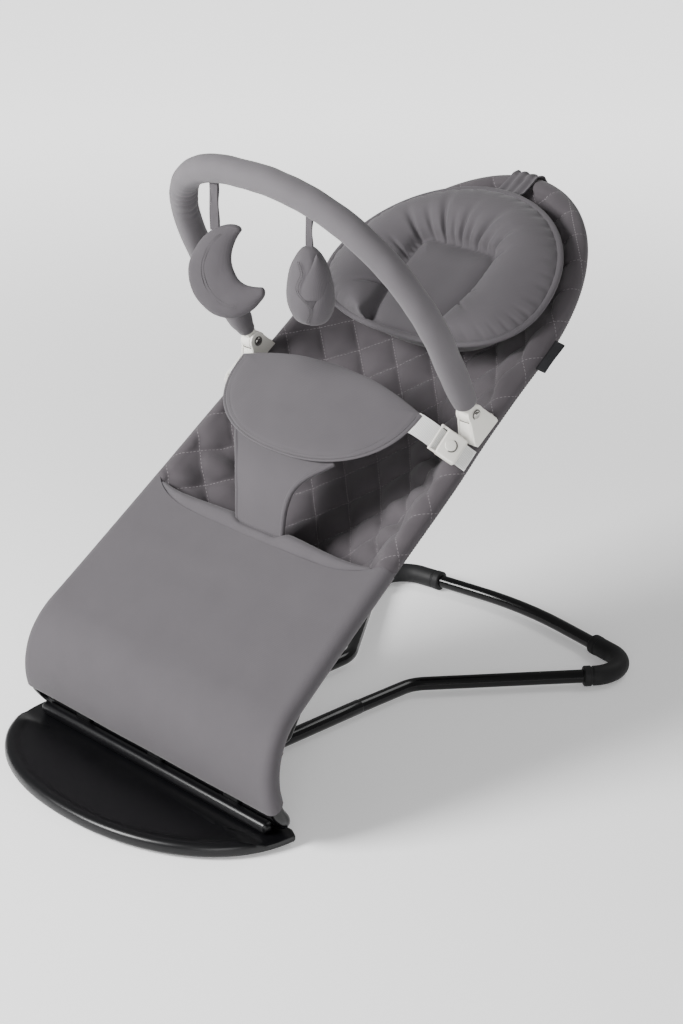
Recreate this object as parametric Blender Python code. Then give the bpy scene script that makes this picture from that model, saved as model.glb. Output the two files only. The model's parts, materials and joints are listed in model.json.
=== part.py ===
"""Baby bouncer: a floor frame, a reclining hammock seat on a bent tube loop, and a toy arch.

Metres, +Z up, the foot plate in front at -Y. Until the last line of each piece everything is laid out
with y = 0 at the rear edge of the foot plate. One empty then carries the whole thing, so that the
origin lies on the floor, midway along the length.

Most of the seat is drawn in seat coordinates (x, p, n): x across, p up the backrest from the point
where its straight part begins, and n out of the seat towards the child.
"""

import bpy
import bmesh
from math import atan2, cos, pi, radians, sin, sqrt, tan
from mathutils import Matrix, Vector

for old in list(bpy.data.objects):
    bpy.data.objects.remove(old)

GAP = 0.0004                     # between pieces that touch
ORIGIN_BEHIND_PLATE = 0.2184     # from the plate's rear edge back to the object's middle

# Tubes of the frame
TUBE_R = 0.008
TUBE_WALL = 0.0013
FRONT_TUBE_R = 0.0085

# Foot plate
PLATE_HALF_W = 0.2095
PLATE_DEPTH = 0.1455
PLATE_REAR = 0.003
PLATE_BOTTOM = 0.002
PLATE_RIM_TOP = 0.0165
PLATE_DISH_TOP = 0.0125
LEDGE_TOP = 0.0105
PLATE_ROUNDNESS = 2.15

# Hinge of the seat loop on the foot plate
HINGE = Vector((0, -0.006, 0.020))

# Floor tubes
BASE_Z = 0.012
BASE_HALF_W = 0.0500
SEAM_Y = 0.242
BEND = (0.0520, 0.325)
CORNER = (0.2225, 0.5455)
BOW_MID_Y = 0.5795
CORNER_R = 0.038
SLEEVE_R = 0.0118

# Side profile of the seat loop: a straight backrest, then an arc down to the plate
RECLINE = radians(36.5)
STRAIGHT_START = Vector((0, 0.0065, 0.1385))
ARC_R = 0.0827
ARC_END_P = -0.1117
ALONG = Vector((0, cos(RECLINE), sin(RECLINE)))
OUT = Vector((0, -sin(RECLINE), cos(RECLINE)))
SEAT = Matrix.Translation(STRAIGHT_START) @ Matrix((
    (1, ALONG.x, OUT.x, 0),
    (0, ALONG.y, OUT.y, 0),
    (0, ALONG.z, OUT.z, 0),
    (0, 0, 0, 1),
))

# Half widths of the loop at places along p, and the ellipse of its head end
WIDTHS = ((ARC_END_P, 0.2010), (-0.05, 0.1945), (0.0, 0.1890), (0.10, 0.1835), (0.20, 0.1790),
          (0.30, 0.1752), (0.36, 0.1703), (0.42, 0.1675), (0.477, 0.1670))
HEAD_P = 0.477
HEAD_A = 0.1670
HEAD_B = 0.2150

JOINT_P = 0.205                  # where the lower and the upper half of the loop meet
HEM_R = 0.0102                   # middle of the fabric wrapped round the tube
HEM_OUTER_R = 0.0108
PANEL_R = 0.0102
COVER_T = 0.003
PANEL_T = 0.0022
HEM_INNER = 0.0088               # from the tube's middle in to where the hammock hangs free

# Recline stay
STAY_R = 0.005
STAY_FOOT = Vector((0, 0.100, 0.030))
STAY_TOP_P = 0.150
SADDLE_BOTTOM_N = -0.0169
NOTCH_R = 0.0058
NOTCH_DEPTH = 0.0012

# Toy arch
ARCH_P = 0.3715
ARCH_N = 0.0358
ARCH_X = 0.1715
ARCH_TILT = radians(120.5)
ARCH_R = 0.015
ARCH_END_R = 0.0118
ARCH_CORE_R = 0.006
ARCH_TOP_S = 0.2865
ARCH_STRAIGHT_S = 0.10
ARCH_HALF_W = 0.1768
ARCH_TOP_X = -0.012
ARCH_POWER_RIGHT = 2.25
ARCH_POWER_LEFT = 2.6
TONGUE_END_S = 0.0215
RIVET_R = 0.003

# Restraint bib, its webbing and buckles
WEBBING_W = 0.025
WEBBING_T = 0.0016
BUCKLE_L = 0.033
BUCKLE_W = 0.031
BUCKLE_T = 0.0085
BUTTON_R = 0.0066

SIDES = 12


# Materials

def linear(hex_colour):
    def channel(text):
        value = int(text, 16) / 255
        return value / 12.92 if value <= 0.04045 else ((value + 0.055) / 1.055) ** 2.4
    return tuple(channel(hex_colour[i:i + 2]) for i in (0, 2, 4)) + (1.0,)


def material(name, hex_colour, roughness, metallic=0.0):
    made = bpy.data.materials.new(name)
    made.use_nodes = True
    shader = made.node_tree.nodes["Principled BSDF"]
    shader.inputs["Base Color"].default_value = linear(hex_colour)
    shader.inputs["Roughness"].default_value = roughness
    shader.inputs["Metallic"].default_value = metallic
    return made


BLACK_PAINT = material("black_paint", "17171a", 0.25)
BLACK_PLASTIC = material("black_plastic", "1b1b1d", 0.45)
BLACK_RUBBER = material("black_rubber", "232325", 0.75)
GREY_FABRIC = material("grey_fabric", "857f88", 0.9)
GREY_QUILT = material("grey_quilt", "7b757e", 0.9)
LIGHT_PLASTIC = material("light_plastic", "cfccc6", 0.4)
LIGHT_WEBBING = material("light_webbing", "d3d3d3", 0.8)
DARK_LABEL = material("dark_label", "2b2b30", 0.7)
STEEL = material("steel", "b9b9b9", 0.25, 1.0)
ARCH_PLASTIC = material("arch_plastic", "8b8b8e", 0.5)


# Scene tree

def empty(name, at, parent=None):
    """An empty at a joint's axis, or carrying a group. at is in the layout's own coordinates."""
    made = bpy.data.objects.new(name, None)
    made.empty_display_size = 0.03
    bpy.context.scene.collection.objects.link(made)
    made["at"] = tuple(at)
    if parent:
        made.parent = parent
        made.location = Vector(at) - Vector(parent["at"])
    else:
        made.location = Vector(at) - Vector((0, ORIGIN_BEHIND_PLATE, 0))
    return made


def add(name, bm, look, carrier, transform=None, smooth=40):
    """A mesh object made of bm, which is in layout coordinates, hung on its carrier empty."""
    if transform:
        bm.transform(transform)
    bm.normal_update()
    bmesh.ops.recalc_face_normals(bm, faces=bm.faces)
    if all(edge.is_manifold for edge in bm.edges) and bm.calc_volume(signed=True) < 0:
        bmesh.ops.reverse_faces(bm, faces=bm.faces)
    mesh = bpy.data.meshes.new(name)
    bm.transform(Matrix.Translation(-Vector(carrier["at"])))
    bm.to_mesh(mesh)
    bm.free()
    mesh.shade_smooth()
    mesh.set_sharp_from_angle(angle=radians(smooth))
    mesh.materials.append(look)
    made = bpy.data.objects.new(name, mesh)
    bpy.context.scene.collection.objects.link(made)
    made.parent = carrier
    return made


def cut(target, cutter, operation="DIFFERENCE"):
    cutter.hide_render = True
    cutter.display_type = "WIRE"
    made = target.modifiers.new("cut_" + cutter.name, "BOOLEAN")
    made.object = cutter
    made.operation = operation
    made.solver = "EXACT"


def thicken(target, thickness, offset=0.0):
    made = target.modifiers.new("thickness", "SOLIDIFY")
    made.thickness = thickness
    made.offset = offset


# Shapes

def block(size, centre, bevel=0.0, segments=2):
    bm = bmesh.new()
    bmesh.ops.create_cube(bm, size=1.0)
    bmesh.ops.scale(bm, vec=size, verts=bm.verts)
    if bevel:
        bmesh.ops.bevel(bm, geom=bm.edges[:], offset=bevel, segments=segments, profile=0.5,
                        affect="EDGES", clamp_overlap=True, material=-1)
    bmesh.ops.translate(bm, vec=centre, verts=bm.verts)
    return bm


def rod_between(start, end, radius, sides=16, end_radius=None):
    bm = bmesh.new()
    start, end = Vector(start), Vector(end)
    bmesh.ops.create_cone(bm, cap_ends=True, segments=sides, radius1=radius,
                          radius2=radius if end_radius is None else end_radius,
                          depth=(end - start).length)
    turn = (end - start).to_track_quat("Z", "X").to_matrix().to_4x4()
    bm.transform(Matrix.Translation((start + end) / 2) @ turn)
    return bm


def prism(outline, low, high, place):
    """An outline in two coordinates, extruded from low to high in the third; place maps (a, b, c)."""
    bm = bmesh.new()
    face = bm.faces.new([bm.verts.new(place(a, b, low)) for a, b in outline])
    made = bmesh.ops.extrude_face_region(bm, geom=[face])
    moved = [item for item in made["geom"] if isinstance(item, bmesh.types.BMVert)]
    for vert, (a, b) in zip(moved, outline):
        vert.co = place(a, b, high)
    return bm


def heading_at(points, index):
    """The direction of the path at one of its points."""
    before = points[max(index - 1, 0)]
    after = points[min(index + 1, len(points) - 1)]
    return (after - before).normalized()


def swept_tube(points, outer, inner=None, sides=SIDES):
    """A round tube along points. outer is a radius or one for each point; inner opens both ends."""
    points = [Vector(point) for point in points]
    radii = outer if isinstance(outer, (list, tuple)) else [outer] * len(points)
    bm = bmesh.new()
    side = heading_at(points, 0).orthogonal().normalized()
    walls = [radii] if inner is None else [radii, [inner] * len(points)]
    frames = []
    for index, point in enumerate(points):
        heading = heading_at(points, index)
        side = (side - heading * side.dot(heading)).normalized()
        frames.append((point, side.copy(), heading.cross(side)))
    ends = []
    for wall in walls:
        rings = []
        for (point, across, up), radius in zip(frames, wall):
            rings.append([bm.verts.new(point + (across * cos(a) + up * sin(a)) * radius)
                          for a in (2 * pi * k / sides for k in range(sides))])
        for ring, following in zip(rings, rings[1:]):
            for k in range(sides):
                bm.faces.new((ring[k], ring[(k + 1) % sides],
                              following[(k + 1) % sides], following[k]))
        ends.append((rings[0], rings[-1]))
    if inner is None:
        bm.faces.new(ends[0][0])
        bm.faces.new(ends[0][1])
    else:
        for end in (0, 1):
            for k in range(sides):
                n = (k + 1) % sides
                bm.faces.new((ends[0][end][k], ends[0][end][n], ends[1][end][n], ends[1][end][k]))
    return bm


def filleted(points, radii, step=radians(15)):
    """A path through points whose inner corners are arcs of the given radii."""
    points = [Vector(point) for point in points]
    path = [points[0]]
    for before, corner, after, radius in zip(points, points[1:], points[2:], radii):
        arriving = (corner - before).normalized()
        leaving = (after - corner).normalized()
        turn = arriving.angle(leaving)
        tangent = radius * tan(turn / 2)
        start = corner - arriving * tangent
        inward = (leaving - arriving * arriving.dot(leaving)).normalized()
        centre = start + inward * radius
        count = max(2, round(turn / step))
        for k in range(count + 1):
            a = turn * k / count
            path.append(centre - inward * radius * cos(a) + arriving * radius * sin(a))
    path.append(points[-1])
    return path


def grid_mesh(rows):
    """One face between each four neighbours in rows of points."""
    bm = bmesh.new()
    verts = [[bm.verts.new(point) for point in row] for row in rows]
    for lower, upper in zip(verts, verts[1:]):
        for k in range(len(lower) - 1):
            bm.faces.new((lower[k], lower[k + 1], upper[k + 1], upper[k]))
    return bm


# The seat's own coordinates

def seat_point(x, p, n=0.0):
    """A point of the seat. Below p = 0 the profile is an arc that turns down to the plate."""
    if p >= 0:
        return SEAT @ Vector((x, p, n))
    centre = STRAIGHT_START - OUT * ARC_R
    turn = Matrix.Rotation(-p / ARC_R, 3, "X")
    return centre + turn @ (OUT * (ARC_R + n)) + Vector((x, 0, 0))


def half_width(p):
    if p >= HEAD_P:
        return HEAD_A * sqrt(max(0.0, 1 - ((p - HEAD_P) / HEAD_B) ** 2))
    for (p0, w0), (p1, w1) in zip(WIDTHS, WIDTHS[1:]):
        if p <= p1:
            return w0 + (w1 - w0) * (p - p0) / (p1 - p0)
    return HEAD_A


def spread(low, high, count):
    return [low + (high - low) * k / (count - 1) for k in range(count)]


def through(pairs, x):
    """The value at x on a line of straight pieces."""
    if x <= pairs[0][0]:
        return pairs[0][1]
    for (x0, y0), (x1, y1) in zip(pairs, pairs[1:]):
        if x <= x1:
            return y0 + (y1 - y0) * (x - x0) / (x1 - x0)
    return pairs[-1][1]


SAG = ((0.05, 0.012), (0.09, 0.038), (0.14, 0.052), (0.22, 0.056), (0.32, 0.052), (0.42, 0.044),
       (HEAD_P, 0.038))


def seat_height(x, p):
    """n of the hammock's middle surface at (x, p)."""
    steepness = 2.6
    if p <= HEAD_P:
        share = abs(x) / (half_width(p) - HEM_INNER)
    else:
        up = (p - HEAD_P) / (HEAD_B - HEM_INNER)
        share = sqrt((x / (HEAD_A - HEM_INNER)) ** 2 + up ** 2)
        steepness -= 1.2 * (up / max(share, 0.001)) ** 2 * min(1.0, up / 0.2)
    hem_n = sqrt(HEM_R ** 2 - HEM_INNER ** 2)
    return hem_n - through(SAG, p) * (1 - min(1.0, share) ** steepness)


# Base

base = empty("bouncer", (0, 0, 0))


def plate_ring(inset, z, count=44):
    """One closed ring of the half-moon plate, moved in from its edge by inset."""
    ring = []
    half_w = PLATE_HALF_W - inset
    depth = PLATE_DEPTH - inset
    rear = PLATE_REAR - inset * 0.8
    for k in range(count + 1):
        a = pi * k / count
        x = half_w * (1 if cos(a) >= 0 else -1) * abs(cos(a)) ** (2 / PLATE_ROUNDNESS)
        y = -depth * sin(a) ** (2 / PLATE_ROUNDNESS)
        ring.append((x, min(y, rear - 0.006) if 0 < k < count else rear - 0.006))
    corner = [(-(half_w - 0.004), rear), (half_w - 0.004, rear)]
    ring += [(corner[0][0] + (corner[1][0] - corner[0][0]) * k / 10, rear) for k in range(11)]
    return [Vector((x, y, z)) for x, y in ring]


def foot_plate():
    levels = ((0.004, PLATE_BOTTOM), (0.0, 0.0055), (0.0, 0.0110), (0.002, 0.0146),
              (0.006, PLATE_RIM_TOP), (0.011, 0.0157), (0.022, 0.0135), (0.048, PLATE_DISH_TOP))
    bm = bmesh.new()
    rings = [[bm.verts.new(point) for point in plate_ring(inset, z)] for inset, z in levels]
    for ring in rings:
        for vert in ring:
            ledge = through(((-0.060, PLATE_RIM_TOP), (-0.037, LEDGE_TOP)), vert.co.y)
            vert.co.z = min(vert.co.z, ledge)
    for lower, upper in zip(rings, rings[1:]):
        for k in range(len(lower)):
            n = (k + 1) % len(lower)
            bm.faces.new((lower[k], lower[n], upper[n], upper[k]))
    bm.faces.new(rings[0])
    bm.faces.new(rings[-1])
    bmesh.ops.triangulate(bm, faces=bm.faces[:])
    plate = add("foot_plate", bm, BLACK_PLASTIC, base)
    ledge = add("plate_ledge", block((0.30, 0.034, LEDGE_TOP - PLATE_BOTTOM),
                                     (0, -0.009, (LEDGE_TOP + PLATE_BOTTOM) / 2)),
                BLACK_PLASTIC, base)
    cut(plate, ledge, "UNION")
    for side in (-1, 1):
        name = "left" if side < 0 else "right"
        low, high = 0.0095, 0.046
        socket = add("socket_" + name,
                     block((0.030, high - low + 0.006, 0.0225),
                           (side * BASE_HALF_W, (low + high) / 2 - 0.003, 0.0135), 0.002, 1),
                     BLACK_PLASTIC, base)
        over = add("bar_way_" + name,
                   block((0.034, 0.0235, 0.030), (side * BASE_HALF_W, -0.0029, LEDGE_TOP + 0.0153)),
                   BLACK_PLASTIC, base)
        cut(socket, over)
        cut(plate, socket, "UNION")
        bore = add("socket_bore_" + name,
                   rod_between((side * BASE_HALF_W, low + 0.004, BASE_Z),
                               (side * BASE_HALF_W, high + 0.02, BASE_Z),
                               FRONT_TUBE_R + GAP, 24),
                   BLACK_PLASTIC, base)
        cut(plate, bore)
    return plate


def plate_pads():
    spots = {"plate_pad_front": (0, -0.105), "plate_pad_left": (-0.150, -0.030),
             "plate_pad_right": (0.150, -0.030)}
    for name, (x, y) in spots.items():
        add(name, rod_between((x, y, 0), (x, y, PLATE_BOTTOM - 0.0003), 0.011, 24),
            BLACK_RUBBER, base)


def hinge_cover():
    """The low rounded rib in front of the hinge bar, with rounded ends."""
    path = [(-0.190, 0), (0.190, 0)]
    y = -0.0235
    half, top = 0.0048, 0.0235
    bottom = LEDGE_TOP + GAP
    outline = []
    for centre_x, start in ((path[1][0] - half, -pi / 2), (path[0][0] + half, pi / 2)):
        for k in range(9):
            a = start + pi * k / 8
            outline.append((centre_x + half * cos(a), y + half * sin(a)))
    bm = prism(outline, bottom, top, lambda a, b, c: Vector((a, b, c)))
    rims = [edge for edge in bm.edges if all(v.co.z > top - 0.0001 for v in edge.verts)]
    bmesh.ops.bevel(bm, geom=rims, offset=0.0035, segments=3, profile=0.5, affect="EDGES",
                    clamp_overlap=True, material=-1)
    add("hinge_cover", bm, BLACK_PLASTIC, base)


def hinge_clamps():
    """Saddles over the hinge bar that hold it down on the plate."""
    for name, x in (("left", -0.125), ("middle", 0.0), ("right", 0.125)):
        half_l, half_w = 0.012, 0.0118
        top = HINGE.z + TUBE_R + 0.0034
        bottom = LEDGE_TOP + GAP
        clamp = add("hinge_clamp_" + name,
                    block((2 * half_l, 2 * half_w, top - bottom),
                          (x, HINGE.y, (top + bottom) / 2), 0.0012, 1), BLACK_PLASTIC, base)
        room = TUBE_R + 0.0005
        way = [(HINGE.y + room * cos(a), HINGE.z + room * sin(a))
               for a in (pi * k / 12 for k in range(13))]
        way += [(HINGE.y - room, bottom - 0.002), (HINGE.y + room, bottom - 0.002)]
        cutter = add("clamp_way_" + name,
                     prism(way, x - half_l - 0.002, x + half_l + 0.002,
                           lambda a, b, c: Vector((c, a, b))), BLACK_PLASTIC, base)
        cut(clamp, cutter)


def floor_tubes():
    for side, name in ((-1, "left"), (1, "right")):
        add("front_tube_" + name,
            swept_tube([(side * BASE_HALF_W, 0.0142, BASE_Z), (side * BASE_HALF_W, SEAM_Y, BASE_Z)],
                       FRONT_TUBE_R, FRONT_TUBE_R - TUBE_WALL, 16), BLACK_PAINT, base)
        add("tube_screw_" + name,
            rod_between((side * (BASE_HALF_W + 0.0151), 0.032, BASE_Z),
                        (side * (BASE_HALF_W + 0.0176), 0.032, BASE_Z), 0.0038, 16, 0.003),
            STEEL, base)
    right = [(BASE_HALF_W, SEAM_Y + GAP, BASE_Z), (*BEND, BASE_Z), (*CORNER, BASE_Z),
             (0, BOW_MID_Y, BASE_Z)]
    left = [(-x, y, z) for x, y, z in reversed(right[:-1])]
    path = filleted(right + left, (0.045, CORNER_R, 0.45, CORNER_R, 0.045), radians(15))
    add("rear_bow_tube", swept_tube(path, TUBE_R, TUBE_R - TUBE_WALL), BLACK_PAINT, base)


def corner_sleeves():
    """Rubber sleeves round the two rear corners of the floor frame."""
    for side, name in ((-1, "left"), (1, "right")):
        before, corner, after = Vector((*BEND, BASE_Z)), Vector((*CORNER, BASE_Z)), \
            Vector((0, BOW_MID_Y, BASE_Z))
        start = corner + (before - corner).normalized() * 0.077
        end = corner + (after - corner).normalized() * 0.0965
        path = filleted([start, corner, end], (CORNER_R,), radians(15))
        path = [Vector((side * p.x, p.y, p.z)) for p in path]
        radii = [SLEEVE_R] * len(path)
        add("corner_sleeve_" + name, swept_tube(path, radii, TUBE_R + GAP, 16),
            BLACK_RUBBER, base)


def stay_brackets():
    """Blocks on the floor tubes with a cross bore for the foot of the recline stay."""
    for side, name in ((-1, "left"), (1, "right")):
        x = side * BASE_HALF_W
        low, high = 0.0006, STAY_FOOT.z + STAY_R + 0.005
        bracket = add("stay_bracket_" + name,
                      block((0.026, 0.030, high - low), (x, STAY_FOOT.y, (low + high) / 2),
                            0.003, 2), BLACK_PLASTIC, base)
        tube_way = add("tube_way_" + name,
                       rod_between((x, 0.07, BASE_Z), (x, 0.13, BASE_Z), FRONT_TUBE_R + GAP, 24),
                       BLACK_PLASTIC, base)
        rod_way = add("rod_way_" + name,
                      rod_between((x - 0.03, STAY_FOOT.y, STAY_FOOT.z),
                                  (x + 0.03, STAY_FOOT.y, STAY_FOOT.z), STAY_R + 0.0003, 24),
                      BLACK_PLASTIC, base)
        cut(bracket, tube_way)
        cut(bracket, rod_way)


# Recline stay

stay_joint = empty("stay_joint", STAY_FOOT, base)


def stay_pin_n():
    return SADDLE_BOTTOM_N + NOTCH_DEPTH - NOTCH_R


def recline_stay():
    """One bent rod: its foot turns in the brackets, and its two top pins carry the seat."""
    top = seat_point(0, STAY_TOP_P, stay_pin_n())
    foot = STAY_FOOT
    half = [(0.000, foot), (0.080, foot), (0.132, top), (0.155, top)]
    right = [Vector((x, at.y, at.z)) for x, at in half[1:]]
    path = [Vector((-v.x, v.y, v.z)) for v in reversed(right)] + right
    points = filleted(path, (0.014, 0.014, 0.014, 0.014), radians(20))
    add("recline_stay", swept_tube(points, STAY_R, None, 12), BLACK_PAINT, stay_joint)


# Lower half of the seat

seat_joint = empty("seat_joint", HINGE, base)


def lower_loop():
    steps = [JOINT_P - 0.001, 0.14, 0.07, 0.0]
    steps += spread(0.0, ARC_END_P, 9)[1:]
    right = [seat_point(half_width(p), p) for p in steps]
    bar = Vector((half_width(ARC_END_P) + 0.001, HINGE.y, HINGE.z))
    turn = filleted([right[-1], bar, Vector((0, HINGE.y, HINGE.z))], (0.017,))
    path = right + turn[1:-1]
    path += [Vector((-v.x, v.y, v.z)) for v in reversed(path)]
    add("lower_loop_tube", swept_tube(path, TUBE_R, TUBE_R - TUBE_WALL), BLACK_PAINT, seat_joint)
    for side, name in ((-1, "left"), (1, "right")):
        ends = [seat_point(side * half_width(p), p) for p in
                (JOINT_P - 0.030, JOINT_P - 0.0015, JOINT_P - 0.0015, JOINT_P + 0.022)]
        radii = [0.0063, 0.0063, 0.0040, 0.0040]
        ends[1] = ends[0].lerp(ends[3], 0.50)
        ends[2] = ends[0].lerp(ends[3], 0.52)
        add("flex_rod_" + name, swept_tube(ends, radii, None, 12), STEEL, seat_joint)


def saddles():
    """Plastic saddles under the loop's sides. The stay's pins rest in their shallow notches."""
    pin_n = stay_pin_n()
    for side, name in ((-1, "left"), (1, "right")):
        low_p, high_p = 0.124, 0.176
        edge_x = half_width(STAY_TOP_P)
        shape = [(0.136, SADDLE_BOTTOM_N), (0.158, SADDLE_BOTTOM_N), (0.165, -0.0135),
                 (edge_x + 0.002, -0.0125), (edge_x + 0.002, -0.0088), (0.160, -0.0095),
                 (0.136, -0.0115)]
        saddle = add("stay_saddle_" + name,
                     prism([(side * x, n) for x, n in shape], low_p, high_p,
                           lambda a, b, c: seat_point(a, c, b)), BLACK_PLASTIC, seat_joint)
        for k, p in enumerate((STAY_TOP_P - 0.016, STAY_TOP_P, STAY_TOP_P + 0.016)):
            notch = add(f"notch_{name}_{k}",
                        rod_between(seat_point(side * 0.130, p, pin_n),
                                    seat_point(side * 0.170, p, pin_n), NOTCH_R, 24),
                        BLACK_PLASTIC, seat_joint)
            cut(saddle, notch)


def lower_panel():
    """The smooth front panel, from above the hinge bar up to the leg opening."""
    turns = [radians(a) for a in (95, 65, 35, 5, -25)]
    rows = []
    for share in spread(0, 1, 15):
        row = []
        columns = [-1, -0.9, -0.7, -0.45, -0.2, 0, 0.2, 0.45, 0.7, 0.9, 1]

        def at(x_share, offset_x, n):
            top = 0.157 + 0.026 * abs(x_share) ** 6
            p = -0.0965 + (top + 0.0965) * share
            return seat_point(x_share * half_width(p) + offset_x, p, n)

        for a in reversed(turns):
            row.append(at(-1, -PANEL_R * cos(a), PANEL_R * sin(a)))
        row += [at(c, 0, PANEL_R) for c in columns[1:-1]]
        for a in turns:
            row.append(at(1, PANEL_R * cos(a), PANEL_R * sin(a)))
        rows.append(row)
    panel = add("front_panel", grid_mesh(rows), GREY_FABRIC, seat_joint)
    thicken(panel, PANEL_T)


def seat_pocket():
    """The hammock's lower end, hanging behind the front panel."""
    rows = []
    for p in (0.034, 0.045, 0.060, 0.080, 0.105, 0.140, 0.178, 0.2030):
        w = half_width(p) - HEM_INNER - 0.003
        over_saddle = 0.10 < p < 0.19
        row = []
        for share in (-1, -0.93, -0.765, -0.6, -0.35, -0.12, 0.12, 0.35, 0.6, 0.765, 0.93, 1):
            n = min(0.0035, seat_height(share * (half_width(p) - HEM_INNER), p)) - 0.001
            if over_saddle and abs(share) > 0.7:
                n = max(n, -0.0075)
            lean = 0.0045 * (n / 0.055) if p > 0.19 else 0.0
            row.append(seat_point(share * w, p + lean, n))
        rows.append(row)
    pocket = add("seat_pocket", grid_mesh(rows), GREY_QUILT, seat_joint)
    thicken(pocket, COVER_T)


# Upper half of the seat

flex_joint = empty("flex_joint", seat_point(0, JOINT_P), seat_joint)


def upper_loop():
    right = [seat_point(half_width(p), p) for p in (JOINT_P + 0.001, 0.30, 0.36, 0.42)]
    for a in spread(0, pi / 2, 12):
        right.append(seat_point(HEAD_A * cos(a), HEAD_P + HEAD_B * sin(a)))
    path = right[:-1] + [right[-1]] + [Vector((-v.x, v.y, v.z)) for v in reversed(right[:-1])]
    add("upper_loop_tube", swept_tube(path, TUBE_R, TUBE_R - TUBE_WALL), BLACK_PAINT, flex_joint)


def head_edge(angle, inset):
    """A point in the plan (x, p), inset inwards from the tube's middle at an angle of the ellipse."""
    centre = Vector((HEAD_A * cos(angle), HEAD_B * sin(angle)))
    normal = Vector((cos(angle) / HEAD_A, sin(angle) / HEAD_B)).normalized()
    return centre - normal * inset


def seat_cover():
    """The hammock from the joint up to the head end, its hem laid over the loop."""
    hem_turns = [(radians(a), r) for a, r in ((118, HEM_R), (88, HEM_R), (58, HEM_OUTER_R),
                                              (28, HEM_OUTER_R), (-2, HEM_OUTER_R),
                                              (-32, HEM_OUTER_R))]
    shares = [-1, -0.93, -0.8, -0.6, -0.35, -0.12, 0.12, 0.35, 0.6, 0.8, 0.93, 1]
    rows = []
    for p in (0.2057, 0.25, 0.29, 0.33, 0.37, 0.41, 0.445, HEAD_P):
        w = half_width(p)
        row = [seat_point(-w - r * cos(a), p, r * sin(a)) for a, r in reversed(hem_turns)]
        row += [seat_point(s * (w - HEM_INNER), p, seat_height(s * (w - HEM_INNER), p))
                for s in shares]
        row += [seat_point(w + r * cos(a), p, r * sin(a)) for a, r in hem_turns]
        rows.append(row)
    steps = (0.14, 0.28, 0.42, 0.56, 0.69, 0.81, 0.91, 1.0)
    for e in steps:
        row = []
        for s in shares:
            disc = Vector((s * sqrt(1 - e * e / 2), e * sqrt(1 - s * s / 2)))
            plan = head_edge(atan2(disc.y, disc.x), HEM_INNER) * disc.length
            x, p = plan.x, HEAD_P + plan.y
            row.append(seat_point(x, p, seat_height(x, p)))
        angle = atan2(e * sqrt(0.5), sqrt(1 - e * e / 2))
        for a, r in hem_turns:
            plan = head_edge(angle, -r * cos(a))
            n = r * sin(a)
            row.insert(0, seat_point(-plan.x, HEAD_P + plan.y, n))
            row.append(seat_point(plan.x, HEAD_P + plan.y, n))
        rows.append(row)
    bm = grid_mesh(rows)
    bm.verts.ensure_lookup_table()
    width = len(rows[0])
    last = [bm.verts[(len(rows) - 1) * width + k] for k in range(width)]
    inner = last[6:-6]
    rim = [inner]
    for index, (a, r) in enumerate(hem_turns):
        ring = []
        for s in shares:
            disc = Vector((s * sqrt(0.5), sqrt(1 - s * s / 2)))
            plan = head_edge(atan2(disc.y, disc.x), -r * cos(a))
            ring.append(seat_point(plan.x, HEAD_P + plan.y, r * sin(a)))
        verts = [last[5 - index]] + [bm.verts.new(point) for point in ring[1:-1]] \
            + [last[-6 + index]]
        rim.append(verts)
    for lower, upper in zip(rim, rim[1:]):
        for k in range(len(lower) - 1):
            bm.faces.new((lower[k], lower[k + 1], upper[k + 1], upper[k]))
    cover = add("seat_cover", bm, GREY_QUILT, flex_joint)
    thicken(cover, COVER_T)


# Half width of the bib at places along p, and how far it stands off the seat in the middle
BIB_WIDTHS = ((0.150, 0.0355), (0.165, 0.036), (0.190, 0.0385), (0.205, 0.043), (0.217, 0.049),
              (0.230, 0.059), (0.243, 0.071), (0.256, 0.085), (0.270, 0.099), (0.288, 0.117),
              (0.308, 0.131), (0.328, 0.139), (0.339, 0.141))
BIB_RISE = ((0.150, -0.0125), (0.165, 0.006), (0.190, 0.0355), (0.210, 0.0525), (0.235, 0.0605),
            (0.270, 0.0635), (0.310, 0.0655), (0.339, 0.066))
BIB_TIP_N = 0.060
BIB_T = 0.009


def bib():
    """The padded T-shaped bib and its crotch strap, one sewn piece."""
    rows = []
    for p, w in BIB_WIDTHS:
        row = []
        crown = 0.020 * max(0.0, (p - 0.23) / 0.109) ** 1.3
        for share in (-1, -0.85, -0.6, -0.3, 0, 0.3, 0.6, 0.85, 1):
            x = share * w
            middle = through(BIB_RISE, p)
            drop = max(0.0, middle - BIB_TIP_N) * (x / 0.141) ** 2
            low = 0.004 * share ** 2 if p < 0.25 else 0.0
            row.append(seat_point(x, p + crown * (1 - share ** 2), middle - drop - low))
        rows.append(row)
    made = add("restraint_bib", grid_mesh(rows), GREY_FABRIC, flex_joint)
    thicken(made, BIB_T)


def strap_frame(side):
    """Where the side strap runs: its start at the bib, its end at the hem, and its own axes."""
    start = seat_point(side * 0.1415, 0.3275, 0.0575)
    end = seat_point(side * 0.1865, 0.3320, 0.0095)
    along = (end - start).normalized()
    across = (ALONG - along * ALONG.dot(along)).normalized()
    out = along.cross(across) * (1 if side < 0 else -1)
    if out.dot(OUT) < 0:
        out = -out
    return start, end, along, across, out


def strap_piece(side, low, high, width, thickness, lift=0.0, bevel=0.0):
    start, end, along, across, out = strap_frame(side)
    bm = block((high - low, width, thickness), ((low + high) / 2, 0, lift), bevel, 2)
    axes = Matrix((along, across, out)).transposed().to_4x4()
    bm.transform(Matrix.Translation(start) @ axes)
    return bm


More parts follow.
